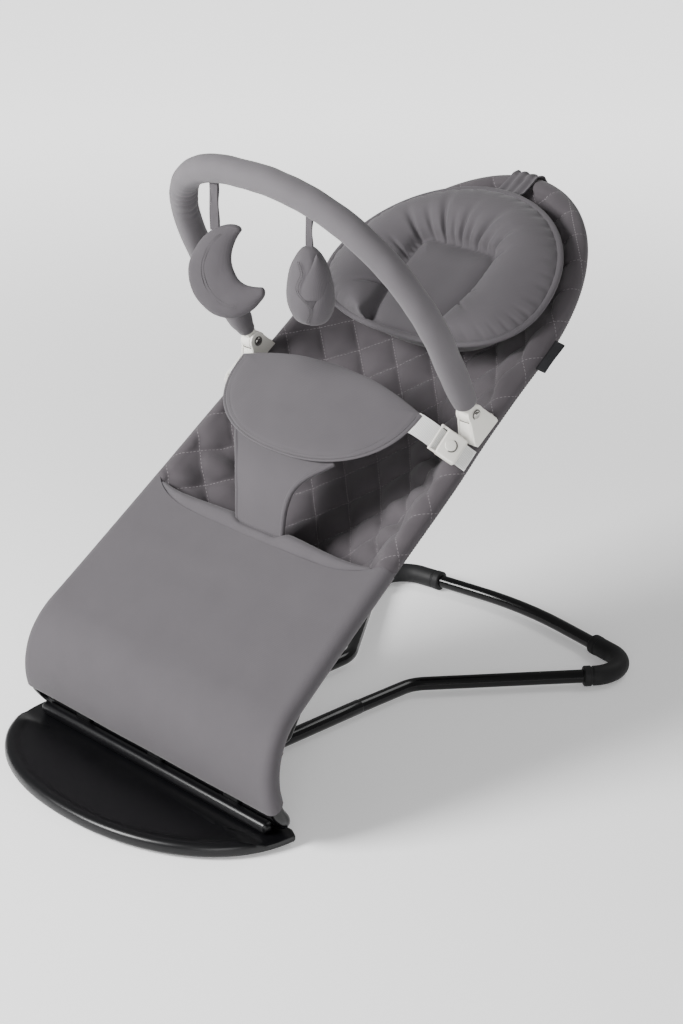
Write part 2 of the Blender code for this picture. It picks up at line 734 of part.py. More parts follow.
def side_straps():
    """Webbing and a buckle from each end of the bib to the seat's hem."""
    for side, name in ((-1, "left"), (1, "right")):
        start, end, along, across, out = strap_frame(side)
        length = (end - start).length
        buckle_low = 0.0225
        buckle_high = buckle_low + BUCKLE_L
        add("bib_webbing_" + name,
            strap_piece(side, 0.0010, buckle_low - GAP, WEBBING_W, WEBBING_T), LIGHT_WEBBING,
            flex_joint)
        add("seat_webbing_" + name,
            strap_piece(side, buckle_high + GAP, length, WEBBING_W, WEBBING_T), LIGHT_WEBBING,
            flex_joint)
        buckle = add("buckle_" + name,
                     strap_piece(side, buckle_low, buckle_high, BUCKLE_W, BUCKLE_T, 0.001, 0.0022),
                     LIGHT_PLASTIC, flex_joint)
        middle = start + along * (buckle_low + 0.0195)
        top = BUCKLE_T / 2 + 0.001
        pocket = add("button_pocket_" + name,
                     rod_between(middle + out * (top - 0.0045), middle + out * (top + 0.004),
                                 BUTTON_R + 0.0003, 24), LIGHT_PLASTIC, flex_joint)
        cut(buckle, pocket)
        button_joint = empty("button_joint_" + name, middle + out * top, flex_joint)
        add("buckle_button_" + name,
            rod_between(middle + out * (top - 0.0018), middle + out * (top + 0.0006),
                        BUTTON_R, 24), LIGHT_PLASTIC, button_joint)


CUSHION_HALF_W = 0.157
CUSHION_LOW_P = 0.440
CUSHION_HIGH_P = 0.653
CUSHION_SEAM_N = 0.0290


def cushion_plan(s, e):
    """The cushion's outline: wide and round above, nearly straight below."""
    disc = Vector((s * sqrt(1 - e * e / 2), e * sqrt(1 - s * s / 2)))
    x = CUSHION_HALF_W * disc.x
    if e >= 0:
        p = CUSHION_LOW_P + 0.078 + (CUSHION_HIGH_P - CUSHION_LOW_P - 0.078) * disc.y
    else:
        p = CUSHION_LOW_P + 0.078 + 0.078 * disc.y * (1 + 0.22 * abs(disc.x) ** 2)
    return x, p, disc.length


def head_cushion():
    """Pillow with a puffy ring and a lower middle. Its edge seam stands clear of the loop's hem."""
    shares = [-1, -0.9, -0.72, -0.5, -0.3, -0.1, 0.1, 0.3, 0.5, 0.72, 0.9, 1]
    bm = bmesh.new()
    sheets = []
    for top in (False, True):
        rows = []
        for e in shares:
            row = []
            for s in shares:
                x, p, reach = cushion_plan(s, e)
                rest = seat_height(x, p) + COVER_T / 2 + 0.001
                low = rest + (CUSHION_SEAM_N - 0.0015 - rest) * reach ** 5
                low = max(low, HEM_R + COVER_T / 2 + 0.0012 if reach > 0.93 else low)
                dome = 0.017 * sqrt(max(0.0, 1 - reach ** 4))
                hollow = 0.020 * max(0.0, 1 - (reach / 0.46) ** 2) ** 0.6
                high = CUSHION_SEAM_N + 0.0015 + dome - hollow
                row.append(seat_point(x, p, high if top else low))
            rows.append([bm.verts.new(point) for point in row])
        for lower, upper in zip(rows, rows[1:]):
            for k in range(len(lower) - 1):
                bm.faces.new((lower[k], lower[k + 1], upper[k + 1], upper[k]))
        sheets.append(rows)
    loops = []
    for rows in sheets:
        loops.append(rows[0][:-1] + [row[-1] for row in rows[:-1]]
                     + rows[-1][:0:-1] + [row[0] for row in reversed(rows[1:])])
    count = len(loops[0])
    for k in range(count):
        n = (k + 1) % count
        bm.faces.new((loops[0][k], loops[0][n], loops[1][n], loops[1][k]))
    add("head_cushion", bm, GREY_FABRIC, flex_joint)


def cushion_hanger():
    """The band from the cushion over the head end of the loop."""
    around = HEM_R + 0.0046
    top_p = HEAD_P + HEAD_B
    path = [(CUSHION_HIGH_P + 0.006, 0.0150), (top_p - 0.012, around - 0.0006)]
    path += [(top_p + around * sin(a), around * cos(a))
             for a in (radians(d) for d in range(0, 181, 20))]
    path += [(top_p - 0.020, -around)]
    rows = [[seat_point(x, p, n) for x in (-0.020, 0.020)] for p, n in path]
    band = add("cushion_hanger", grid_mesh(rows), GREY_FABRIC, flex_joint)
    thicken(band, 0.0014)


LABEL_P = 0.485
LABEL_OUT = 0.012
LABEL_LONG = 0.040
LABEL_LEAN = 14                  # degrees that it hangs below the plane of the tube


def side_label():
    start = HEM_OUTER_R + COVER_T / 2 + GAP
    bm = block((LABEL_OUT, LABEL_LONG, 0.0012), (start + LABEL_OUT / 2, 0, 0.0035))
    lean = Matrix.Rotation(radians(LABEL_LEAN), 4, "Y")
    bm.transform(Matrix.Translation((half_width(LABEL_P), LABEL_P, 0)) @ lean)
    add("side_label", bm, DARK_LABEL, flex_joint, SEAT)


# Toy arch


def arch_axis_point(x=0.0):
    return seat_point(x, ARCH_P, ARCH_N)


def bracket_outline():
    """Side view of the arch bracket about the rivet: a round head on a wider, slanted foot."""
    head = 0.0108
    outline = [(-0.0235, -0.0268), (0.0155, -0.0268), (0.0160, -0.0225)]
    for d in range(-6, 190, 14):
        outline.append((head * cos(radians(d)), head * sin(radians(d))))
    outline.append((-0.0235, -0.0225))
    return outline


def arch_brackets():
    """A clevis at each side: two cheeks that stand on the loop's hem, with the rivet through."""
    for side, name in ((-1, "left"), (1, "right")):
        axis = arch_axis_point(side * ARCH_X)

        def place(a, b, c):
            reach = c if c < 0 else c - b * 0.22
            return axis + ALONG * a + OUT * b + Vector((side * reach, 0, 0))

        body = add("arch_bracket_" + name, prism(bracket_outline(), -0.0098, 0.0104, place),
                   LIGHT_PLASTIC, flex_joint)
        way = [(-0.030, 0.0205), (0.030, 0.0205), (0.030, -0.0175), (-0.030, -0.0175)]
        slot = add("tongue_way_" + name,
                   prism(way, -0.0064, 0.0064,
                         lambda a, b, c: axis + ALONG * a + OUT * b + Vector((c, 0, 0))),
                   LIGHT_PLASTIC, flex_joint)
        cut(body, slot)
        bore = add("rivet_way_" + name,
                   rod_between(axis - Vector((0.02, 0, 0)), axis + Vector((0.02, 0, 0)),
                               RIVET_R + 0.0003, 20), LIGHT_PLASTIC, flex_joint)
        cut(body, bore)
        low_p, high_p = ARCH_P - 0.045, ARCH_P + 0.045
        hem = add("hem_way_" + name,
                  rod_between(seat_point(side * half_width(low_p), low_p),
                              seat_point(side * half_width(high_p), high_p),
                              HEM_OUTER_R + COVER_T / 2 + 0.0006, 40), LIGHT_PLASTIC, flex_joint)
        cut(body, hem)
        rivet = add("arch_rivet_" + name,
                    rod_between(axis - Vector((0.0107, 0, 0)), axis + Vector((0.0107, 0, 0)),
                                RIVET_R, 16), STEEL, flex_joint)
        for end in (-1, 1):
            out = end * side > 0
            start = 0.0117 if out else 0.0101
            head = add(f"rivet_head_{name}_{end + 1}",
                       rod_between(axis + Vector((end * start, 0, 0)),
                                   axis + Vector((end * (start + 0.0020), 0, 0)),
                                   0.0042, 16, 0.0026),
                       STEEL, flex_joint)
            neck = add(f"rivet_neck_{name}_{end + 1}",
                       rod_between(axis + Vector((end * 0.009, 0, 0)),
                                   axis + Vector((end * (start + 0.001), 0, 0)), RIVET_R, 16),
                       STEEL, flex_joint)
            cut(rivet, neck, "UNION")
            cut(rivet, head, "UNION")


arch_joint = empty("arch_joint", arch_axis_point(), flex_joint)
ARCH_UP = Vector((0, cos(ARCH_TILT), sin(ARCH_TILT)))


def arch_point(x, s):
    return arch_axis_point(x) + ARCH_UP * s


def arch_side(side, turn):
    """(x, s) on the bent part of the arch, turn going from its straight leg to its top."""
    power = ARCH_POWER_RIGHT if side > 0 else ARCH_POWER_LEFT
    reach = ARCH_HALF_W - side * ARCH_TOP_X
    c = max(0.0, cos(turn)) ** (2 / power)
    d = sin(turn) ** (2 / power)
    return (ARCH_TOP_X + side * reach * c,
            ARCH_STRAIGHT_S + (ARCH_TOP_S - ARCH_STRAIGHT_S) * d)


def arch_leg(side):
    """(x, s) up the straight leg, from the tongue."""
    return [(side * (ARCH_X + (ARCH_HALF_W - ARCH_X) * s / ARCH_STRAIGHT_S), s)
            for s in (TONGUE_END_S + GAP, 0.045, 0.075, ARCH_STRAIGHT_S)]


def arch_path():
    """From the right end over the top to the left end."""
    turns = spread(0, pi / 2, 11)[1:-1]
    path = arch_leg(1) + [arch_side(1, a) for a in turns] + [(ARCH_TOP_X, ARCH_TOP_S)]
    path += [arch_side(-1, a) for a in reversed(turns)] + list(reversed(arch_leg(-1)))
    return [arch_point(x, s) for x, s in path]


def arch():
    path = arch_path()
    count = len(path)
    radii = []
    for k in range(count):
        from_end = min(k, count - 1 - k)
        radii.append(through(((0, ARCH_END_R), (1, 0.0136), (2, ARCH_R)), from_end))
    add("arch_cover", swept_tube(path, radii, ARCH_CORE_R + GAP, 14), GREY_FABRIC, arch_joint)
    add("arch_core", swept_tube(path, ARCH_CORE_R, None, 8), ARCH_PLASTIC, arch_joint)
    for side, name in ((-1, "left"), (1, "right")):
        axis = arch_axis_point(side * ARCH_X)
        sideways = ARCH_UP.cross(Vector((1, 0, 0)))
        outline = []
        for d in range(200, 341, 20):
            outline.append((0.0112 * cos(radians(d)), 0.0112 * sin(radians(d))))
        outline += [(0.0090, 0.004), (0.0085, TONGUE_END_S), (-0.0085, TONGUE_END_S),
                    (-0.0090, 0.004)]

        def place(a, b, c):
            return axis + sideways * a + ARCH_UP * b + Vector((c, 0, 0))

        tongue = add("arch_tongue_" + name, prism(outline, -0.0060, 0.0060, place),
                     LIGHT_PLASTIC, arch_joint)
        bore = add("tongue_bore_" + name,
                   rod_between(axis - Vector((0.02, 0, 0)), axis + Vector((0.02, 0, 0)),
                               RIVET_R + 0.0003, 20), LIGHT_PLASTIC, arch_joint)
        cut(tongue, bore)


# Toys

def hang_point(x):
    """The underside of the arch cover above a toy that hangs at x."""
    side = 1 if x > ARCH_TOP_X else -1
    low, high = 0.0, pi / 2
    for _ in range(40):
        middle = (low + high) / 2
        if abs(arch_side(side, middle)[0] - ARCH_TOP_X) > abs(x - ARCH_TOP_X):
            low = middle
        else:
            high = middle
    top = arch_point(*arch_side(side, low))
    return Vector((x, top.y, top.z - ARCH_R - 0.0032))


def hanging_strap(name, x, length, carrier):
    top = hang_point(x)
    bm = block((0.011, 0.004, length), (top.x, top.y, top.z - length / 2), 0.0008, 1)
    add(name, bm, GREY_FABRIC, carrier)
    return top.z - length


MOON_X = -0.0655
MOON_THICK = 0.0165
MOON_YAW = radians(25)
MOON_STRETCH = 1.05
# Outline about the strap's foot, from the upper tip round to the lower one: outer edge, inner edge
MOON_OUTER = ((28.5, 4.3), (14, 3.5), (-1, -2), (-13, -12), (-23, -27), (-30, -46), (-29, -65),
              (-20, -83), (-3, -96), (19, -98), (38, -87), (49, -73), (52.9, -61.4))
MOON_INNER = ((28.5, 4.3), (26, -2), (23.5, -8.5), (21, -15.5), (19, -23), (18, -31), (18.5, -39),
              (21, -47), (25.3, -54.1), (32, -58.5), (39, -60), (46, -60.3), (52.9, -61.4))


def moon():
    """A stuffed crescent that opens up and to the right."""
    at = hang_point(MOON_X)
    carrier = empty("moon_joint", at, arch_joint)
    strap_end = hanging_strap("moon_strap", MOON_X, 0.0410, carrier)
    foot = Vector((MOON_X, at.y, strap_end - 0.0035))
    across = Vector((cos(MOON_YAW), sin(MOON_YAW), 0))
    facing = Vector((-sin(MOON_YAW), cos(MOON_YAW), 0))
    bm = bmesh.new()
    rings = []
    for (xo, zo), (xi, zi) in zip(MOON_OUTER, MOON_INNER):
        outer = foot + across * xo * MOON_STRETCH / 1000 + Vector((0, 0, zo / 1000))
        inner = foot + across * xi * MOON_STRETCH / 1000 + Vector((0, 0, zi / 1000))
        middle = (outer + inner) / 2
        reach = (outer - inner) / 2
        if reach.length < 0.003:
            reach = Vector((0, 0, 0.002)) if not rings else across * -0.002
        thick = max(0.003, MOON_THICK * sqrt(min(1.0, reach.length / 0.024)))
        rings.append([bm.verts.new(middle + reach * cos(a) + facing * thick * sin(a))
                      for a in (2 * pi * k / 12 for k in range(12))])
    for ring, following in zip(rings, rings[1:]):
        for k in range(12):
            n = (k + 1) % 12
            bm.faces.new((ring[k], ring[n], following[n], following[k]))
    bm.faces.new(rings[0])
    bm.faces.new(rings[-1])
    add("moon_toy", bm, GREY_FABRIC, carrier)
    return carrier


EGG_X = 0.0745
EGG_R = 0.0270
EGG_H = 0.082


def egg():
    """A stuffed drop with a pointed top."""
    at = hang_point(EGG_X)
    carrier = empty("egg_joint", at, arch_joint)
    strap_end = hanging_strap("egg_strap", EGG_X, 0.0300, carrier)
    bm = bmesh.new()
    profile = []
    for share in spread(0, 1, 13):
        a = pi * share
        radius = EGG_R * sin(a) ** 0.9 * (1 - 0.30 * (1 - cos(a)) / 2) * 1.12
        profile.append((radius, -EGG_H / 2 * cos(a)))
    middle = Vector((EGG_X, at.y, strap_end - GAP - EGG_H / 2 + 0.002))
    rings = []
    for radius, z in profile[1:-1]:
        rings.append([bm.verts.new(middle + Vector((radius * cos(a), radius * 0.86 * sin(a), z)))
                      for a in (2 * pi * k / 16 for k in range(16))])
    bottom = bm.verts.new(middle + Vector((0, 0, -EGG_H / 2)))
    top = bm.verts.new(middle + Vector((0, 0, EGG_H / 2 - 0.0026)))
    for ring, following in zip(rings, rings[1:]):
        for k in range(16):
            n = (k + 1) % 16
            bm.faces.new((ring[k], ring[n], following[n], following[k]))
    for k in range(16):
        n = (k + 1) % 16
        bm.faces.new((rings[0][n], rings[0][k], bottom))
        bm.faces.new((rings[-1][k], rings[-1][n], top))
    add("egg_toy", bm, GREY_FABRIC, carrier)
    return carrier


foot_plate()
plate_pads()
hinge_cover()
hinge_clamps()
floor_tubes()
corner_sleeves()
stay_brackets()
recline_stay()
lower_loop()
saddles()
lower_panel()
seat_pocket()
upper_loop()
seat_cover()
bib()
side_straps()
head_cushion()
cushion_hanger()
side_label()
arch_brackets()
arch()
moon()
egg()
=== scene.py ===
# %% [markdown]
# # The looks of a fabric baby bouncer
# The hard parts come ready made, at their real size and in their real places. This script dresses them:
# it swaps plain solids for sewn cloth, stuffing, webbing and smooth tubes, and gives every surface a
# finish. Everything is in metres, with the foot plate at -Y and +Z up. Each step starts with a note on
# what the real piece is, how it could be made, and why it is made this way.

# %% Load the parts
import json
from math import atan2, copysign, cos, exp, hypot, pi, radians, sin, sqrt, tau

import bmesh
import bpy
from mathutils import Matrix, Vector, noise


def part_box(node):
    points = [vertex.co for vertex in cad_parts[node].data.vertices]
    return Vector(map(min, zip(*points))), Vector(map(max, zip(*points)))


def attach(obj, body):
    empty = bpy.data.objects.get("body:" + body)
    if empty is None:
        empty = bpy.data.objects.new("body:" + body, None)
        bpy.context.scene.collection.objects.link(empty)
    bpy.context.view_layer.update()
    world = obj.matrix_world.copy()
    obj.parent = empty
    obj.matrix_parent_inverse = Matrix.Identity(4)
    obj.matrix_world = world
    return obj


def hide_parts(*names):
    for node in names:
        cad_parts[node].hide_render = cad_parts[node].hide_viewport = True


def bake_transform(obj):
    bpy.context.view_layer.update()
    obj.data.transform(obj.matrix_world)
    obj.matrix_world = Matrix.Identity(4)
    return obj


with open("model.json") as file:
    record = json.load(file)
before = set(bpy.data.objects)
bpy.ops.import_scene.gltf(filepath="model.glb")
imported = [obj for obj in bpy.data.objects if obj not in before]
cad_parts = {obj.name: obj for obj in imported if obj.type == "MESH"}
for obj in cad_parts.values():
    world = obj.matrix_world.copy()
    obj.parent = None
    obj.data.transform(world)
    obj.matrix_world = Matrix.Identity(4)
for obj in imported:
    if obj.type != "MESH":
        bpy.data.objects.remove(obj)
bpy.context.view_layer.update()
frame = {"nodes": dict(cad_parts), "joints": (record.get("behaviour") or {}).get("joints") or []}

JOINTS = {joint["name"]: Vector(joint["pos_m"]) for joint in frame["joints"] if "pos_m" in joint}

# %% [markdown]
# ## Small helpers for finishes
# Every material is a few nodes round a Principled shader. They could be laid out by hand in the shader
# editor, but calls can be read, compared and run again. One function adds a node and its links, and one
# turns an sRGB hex colour into the linear values that the shader works in.


# %% Colours and nodes
def linear(hex_colour):
    """An sRGB hex colour as linear values, by the sRGB standard's own curve."""
    def channel(text):
        value = int(text, 16) / 255
        return value / 12.92 if value <= 0.04045 else ((value + 0.055) / 1.055) ** 2.4
    return tuple(channel(hex_colour[i:i + 2]) for i in (0, 2, 4)) + (1.0,)


def node(tree, kind, sockets=None, **settings):
    """Adds a node. sockets gives an input, by name or number, a value or another node's output."""
    made = tree.nodes.new("ShaderNode" + kind)
    for name, value in settings.items():
        setattr(made, name, value)
    for socket, value in (sockets or {}).items():
        if isinstance(value, bpy.types.NodeSocket):
            tree.links.new(value, made.inputs[socket])
        else:
            made.inputs[socket].default_value = value
    return made


# %% Surfaces, noise and bumps
def surface(name, hex_colour, roughness, **sockets):
    """A material with its shader's own sockets set, and its node tree to add to."""
    made = bpy.data.materials.new(name)
    made.use_nodes = True
    shader = made.node_tree.nodes["Principled BSDF"]
    shader.inputs["Base Color"].default_value = linear(hex_colour)
    shader.inputs["Roughness"].default_value = roughness
    for socket, value in sockets.items():
        shader.inputs[socket.replace("_", " ")].default_value = value
    return made, made.node_tree, shader


def grain(tree, period, detail=2.0, roughness=0.5):
    """Noise over the object's own metres; period is the size of its blotches in metres."""
    place = node(tree, "TexCoord").outputs["Object"]
    return node(tree, "TexNoise", {"Vector": place, "Scale": 1 / period, "Detail": detail,
                                   "Roughness": roughness}).outputs["Fac"]


def bump(tree, shader, height, distance, strength=1.0, over=None):
    sockets = {"Height": height, "Distance": distance, "Strength": strength}
    if over:
        sockets["Normal"] = over
    made = node(tree, "Bump", sockets).outputs["Normal"]
    tree.links.new(made, shader.inputs["Normal"])
    return made


def mottle(tree, shader, hex_low, hex_high, factor):
    """Mixes two colours. Input 0 of a colour Mix is its factor, and 6 and 7 are its colours."""
    mixed = node(tree, "Mix", {0: factor, 6: linear(hex_low), 7: linear(hex_high)},
                 data_type="RGBA").outputs[2]
    tree.links.new(mixed, shader.inputs["Base Color"])
    return mixed


# %% [markdown]
# ## Cloth
# The covers are a plain weave of cotton and polyester, brushed a little, so they are matt with a faint
# pale sheen at grazing angles. Threads are about 0.35 mm apart, too fine to show from a step away, so the
# weave is drawn at 1.1 mm and kept shallow. Modelled threads would be millions of faces, so the weave
# is two crossed wave textures in the bump. Wide, weak blotches of colour stand for the way that the nap
# lies. The arch has the same cloth, made a little paler as painted light, and the moon's is made a
# little deeper as painted shade.


# %% Plain cloth
WEAVE = 0.0011
WEAVE_DEPTH = 0.00025
NAP_BLOTCH = 0.05
PUCKER = 0.012
PUCKER_DEPTH = 0.0006


def weave_height(tree, period):
    """Two crossed waves. At scale 1 a wave texture's bands lie pi / 10 apart."""
    place = node(tree, "TexCoord").outputs["Object"]
    waves = [node(tree, "TexWave", {"Vector": place, "Scale": pi / (10 * period), "Distortion": 0.6,
                                    "Detail": 1.0, "Detail Scale": 2.0},
                  wave_type="BANDS", bands_direction=axis).outputs["Fac"] for axis in ("X", "Z")]
    return node(tree, "Math", {0: waves[0], 1: waves[1]}, operation="MULTIPLY").outputs[0]


def cloth(name, hex_low, hex_high, nap=0.12):
    made, tree, shader = surface(name, hex_high, 0.88, Sheen_Weight=nap, Sheen_Roughness=0.45,
                                 Specular_IOR_Level=0.25)
    mottle(tree, shader, hex_low, hex_high, grain(tree, NAP_BLOTCH, 3.0, 0.6))
    fine = bump(tree, shader, weave_height(tree, WEAVE), WEAVE_DEPTH, 0.35)
    bump(tree, shader, grain(tree, PUCKER, 2.0), PUCKER_DEPTH, 0.30, over=fine)
    return made, tree, shader


GREY_CLOTH = cloth("woven_cotton_grey", "474447", "4d4a4d")[0]
BINDING_CLOTH = cloth("bias_binding_grey", "464346", "4b484b")[0]
# The arch's and the moon's cloths are the grey cloth, with painted light on the arch and painted shade on
# the moon.
ARCH_CLOTH = cloth("woven_cotton_painted_light", "555255", "5b585b")[0]
MOON_CLOTH = cloth("woven_cotton_painted_shade", "413e41", "464346")[0]
INNER_CLOTH = cloth("woven_cotton_lining", "474447", "4d4a4d")[0]
THREAD = surface("polyester_thread_grey", "363335", 0.7, Sheen_Weight=0.2)[0]
HEM_THREAD = surface("polyester_thread_shade", "3c393a", 0.7, Sheen_Weight=0.2)[0]
print("cloths and threads", len(bpy.data.materials))

# %% [markdown]
# ## Quilted cloth
# The hammock is two layers of cloth with wadding between, sewn through along diagonal lines. The puffs
# are real geometry. The thread could be modelled too, but it is thousands of short pieces, so it is part
# of the finish: a UV map holds each point's place on the flat cloth in metres, and dashes of thread keep
# their true 4 mm pitch wherever the cloth bends.

# %% Quilted finish
DIAMOND = 0.041
STITCH_PITCH = 0.0042
DASH_SHARE = 0.62
THREAD_W = 0.0007


def quilt():
    made, tree, shader = cloth("quilted_cotton_grey", "413d40", "494548")
    flat = node(tree, "UVMap", uv_map="flat").outputs["UV"]
    parts = node(tree, "SeparateXYZ", {0: flat})

    def maths(operation, a, b=0.0, c=0.0):
        return node(tree, "Math", {0: a, 1: b, 2: c}, operation=operation).outputs[0]

    def line(sign):
        across = maths("MULTIPLY", maths("ADD", parts.outputs[0],
                                         maths("MULTIPLY", parts.outputs[1], sign)), sqrt(0.5))
        along = maths("MULTIPLY", maths("ADD", parts.outputs[0],
                                        maths("MULTIPLY", parts.outputs[1], -sign)), sqrt(0.5))
        off = maths("ABSOLUTE", maths("SUBTRACT", maths("FLOORED_MODULO", across, DIAMOND),
                                      DIAMOND / 2))
        on_line = maths("GREATER_THAN", off, DIAMOND / 2 - THREAD_W / 2)
        on_dash = maths("LESS_THAN", maths("FLOORED_MODULO", along, STITCH_PITCH),
                        STITCH_PITCH * DASH_SHARE)
        return maths("MULTIPLY", on_line, on_dash)

    thread = maths("MAXIMUM", line(1.0), line(-1.0))
    base = shader.inputs["Base Color"].links[0].from_socket
    mixed = node(tree, "Mix", {0: thread, 6: base, 7: linear("6d686b")}, data_type="RGBA").outputs[2]
    tree.links.new(mixed, shader.inputs["Base Color"])
    return made


QUILT_CLOTH = quilt()

# %% [markdown]
# ## Hard finishes
# The tubes are steel with a black enamel, whose gloss gives long narrow highlights. The foot plate is
# moulded polypropylene with a fine spark-eroded grain, so its highlights are broad and soft. The corner
# sleeves are dull rubber, which hardly shines. The buckles and brackets are off-white acetal with a waxy
# gloss, and the rivets are polished steel. A flat colour would look like paper, so each has a grain in
# its bump and a gloss that changes a little from place to place, as handled surfaces do.


# %% Enamel, plastics, rubber and steel
HANDLED_BLOTCH = 0.03
GLOSS_RANGE = (0.85, 1.2)


def hard(name, hex_colour, roughness, grit, depth, **sockets):
    made, tree, shader = surface(name, hex_colour, roughness, **sockets)
    bump(tree, shader, grain(tree, grit, 2.0), depth, 0.4)
    gloss = node(tree, "MapRange", {0: grain(tree, HANDLED_BLOTCH, 3.0), 3: roughness * GLOSS_RANGE[0],
                                    4: roughness * GLOSS_RANGE[1]}).outputs[0]
    tree.links.new(gloss, shader.inputs["Roughness"])
    return made


BLACK_ENAMEL = hard("black_enamel", "050506", 0.16, 0.004, 0.00003, Specular_IOR_Level=0.35)
BLACK_MOULDED = hard("moulded_polypropylene_black", "08080a", 0.33, 0.0009, 0.00010,
                     Specular_IOR_Level=0.34)
BLACK_FITTING = hard("moulded_nylon_black", "070708", 0.38, 0.0009, 0.00008,
                     Specular_IOR_Level=0.3)
RUBBER = hard("rubber_black", "121213", 0.62, 0.0012, 0.00010, Specular_IOR_Level=0.35)
PALE_PLASTIC = hard("moulded_acetal_offwhite", "d6d4cd", 0.38, 0.0012, 0.00004)
# Dark acetal for the thin rings round the buttons and the rivets: painted shade in the grooves there.
SHADOW_PLASTIC = hard("acetal_painted_shade", "4a4946", 0.6, 0.001, 0.00005)
STEEL = hard("polished_steel", "a5a39f", 0.20, 0.0008, 0.00002, Metallic=1.0)

# %% [markdown]
# ## Webbing and label
# Webbing is woven with a rib across it, about 1.5 mm from rib to rib, in a pale grey polyester. The
# label is a bare fold of dark satin ribbon. Each rib is a band of a wave texture along the strip's own
# UV map, so the ribs stay square to the strip whichever way it lies.


# %% Webbing and ribbon
def ribbed(name, hex_low, hex_high, pitch, depth, nap):
    made, tree, shader = surface(name, hex_high, 0.75, Sheen_Weight=nap, Sheen_Roughness=0.4,
                                 Specular_IOR_Level=0.3)
    flat = node(tree, "UVMap", uv_map="flat").outputs["UV"]
    ribs = node(tree, "TexWave", {"Vector": flat, "Scale": pi / (10 * pitch)},
                wave_type="BANDS", bands_direction="X").outputs["Fac"]
    mottle(tree, shader, hex_low, hex_high, ribs)
    bump(tree, shader, ribs, depth, 0.8)
    return made


WEBBING = ribbed("polyester_webbing_pale", "c4c4c3", "ececea", 0.0015, 0.0005, 0.3)
RIBBON = ribbed("satin_ribbon_dark", "101013", "18181b", 0.0010, 0.0002, 0.02)

# %% Count the finishes
print("finishes", len(bpy.data.materials))

# %% [markdown]
# ## Shape helpers
# Cloth starts as an operator's flat grid whose vertices are then moved to where the cloth lies. Tubes,
# piping and sleeves are a circle that is extruded from place to place along a path. A pillow starts as
# a sphere, whose rings crowd together at its middle: just where the seam of a pillow needs them. A cloth
# simulation could do the cloth, but here it is all held taut or stuffed, so its shape is known.


# %% Making a piece
def make(name, bm, look, body, replaces=(), smooth=60):
    """Turns a bmesh into a finished object that rides on a body."""
    bmesh.ops.recalc_face_normals(bm, faces=bm.faces[:])
    flat = bm.verts.layers.float_vector.get("flat")
    if flat:
        uv = bm.loops.layers.uv.new("flat")
        for face in bm.faces:
            for loop in face.loops:
                loop[uv].uv = loop.vert[flat].xy
    mesh = bpy.data.meshes.new(name)
    bm.to_mesh(mesh)
    bm.free()
    mesh.shade_smooth()
    mesh.set_sharp_from_angle(angle=radians(smooth))
    mesh.materials.append(look)
    made = bpy.data.objects.new(name, mesh)
    bpy.context.scene.collection.objects.link(made)
    if body:
        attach(made, body)
    if replaces:
        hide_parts(*replaces)
    print(name, len(mesh.polygons), "faces")
    return made


def verts_of(geometry):
    return [item for item in geometry if isinstance(item, bmesh.types.BMVert)]


# %% Values along a line
def through(pairs, x):
    """The value at x on a smooth curve through (x, value) pairs."""
    if x <= pairs[0][0]:
        return pairs[0][1]
    if x >= pairs[-1][0]:
        return pairs[-1][1]
    k = next(i for i in range(len(pairs) - 1) if x <= pairs[i + 1][0])
    (x0, y0), (x1, y1) = pairs[k], pairs[k + 1]
    slope = (y1 - y0) / (x1 - x0)
    before = slope if k == 0 else (y1 - pairs[k - 1][1]) / (x1 - pairs[k - 1][0])
    after = slope if k + 2 >= len(pairs) else (pairs[k + 2][1] - y0) / (pairs[k + 2][0] - x0)
    t = (x - x0) / (x1 - x0)
    h = x1 - x0
    return ((2 * t ** 3 - 3 * t ** 2 + 1) * y0 + (t ** 3 - 2 * t ** 2 + t) * h * before
            + (3 * t ** 2 - 2 * t ** 3) * y1 + (t ** 3 - t ** 2) * h * after)


def spread(low, high, count):
    return [low + (high - low) * k / (count - 1) for k in range(count)]


def ease(x):
    x = min(1.0, max(0.0, x))
    return x * x * (3 - 2 * x)


def swirl(x, y, z, size):
    """Smooth noise from -1 to 1 with blotches of that size."""
    return noise.noise(Vector((x, y, z)) / size)


# %% Sweeping a circle along a path
def heading_at(points, index):
    before = points[max(index - 1, 0)]
    after = points[min(index + 1, len(points) - 1)]
    return (after - before).normalized()


def places_along(points, radii, flat=1.0, side=None):
    """A matrix for each point: z along the path, x and y as long as the radius there."""
    side = side or heading_at(points, 0).orthogonal()
    found = []
    for index, point in enumerate(points):
        heading = heading_at(points, index)
        side = (side - heading * side.dot(heading)).normalized()
        radius = radii[index] if isinstance(radii, (list, tuple)) else radii
        axes = Matrix((side * radius, heading.cross(side) * radius * flat, heading))
        found.append(Matrix.Translation(point) @ axes.transposed().to_4x4())
    return found


def next_ring(bm, edges):
    """Extrudes a ring of edges once, and gives the new ring's edges and vertices."""
    made = bmesh.ops.extrude_edge_only(bm, edges=edges)["geom"]
    moved = verts_of(made)
    ends = set(moved)
    return [item for item in made if isinstance(item, bmesh.types.BMEdge)
            and ends.issuperset(item.verts)], moved


def skin(bm, places, sides, closed=False):
    """Carries a circle from place to place. Its ends are filled, or joined where it is closed."""
    old = set(bm.edges)
    bmesh.ops.create_circle(bm, cap_ends=False, radius=1.0, segments=sides, matrix=places[0])
    edges = first = [edge for edge in bm.edges if edge not in old]
    for before, after in zip(places, places[1:]):
        edges, moved = next_ring(bm, edges)
        bmesh.ops.transform(bm, matrix=after @ before.inverted(), verts=moved)
    if closed:
        bmesh.ops.bridge_loops(bm, edges=first + edges)
    else:
        bmesh.ops.edgeloop_fill(bm, edges=first)
        bmesh.ops.edgeloop_fill(bm, edges=edges)
    return bm


def sweep(points, radii, sides=24, flat=1.0, side=None, closed=False, bm=None):
    """A tube along points."""
    points = [Vector(point) for point in points]
    return skin(bm or bmesh.new(), places_along(points, radii, flat, side), sides, closed)


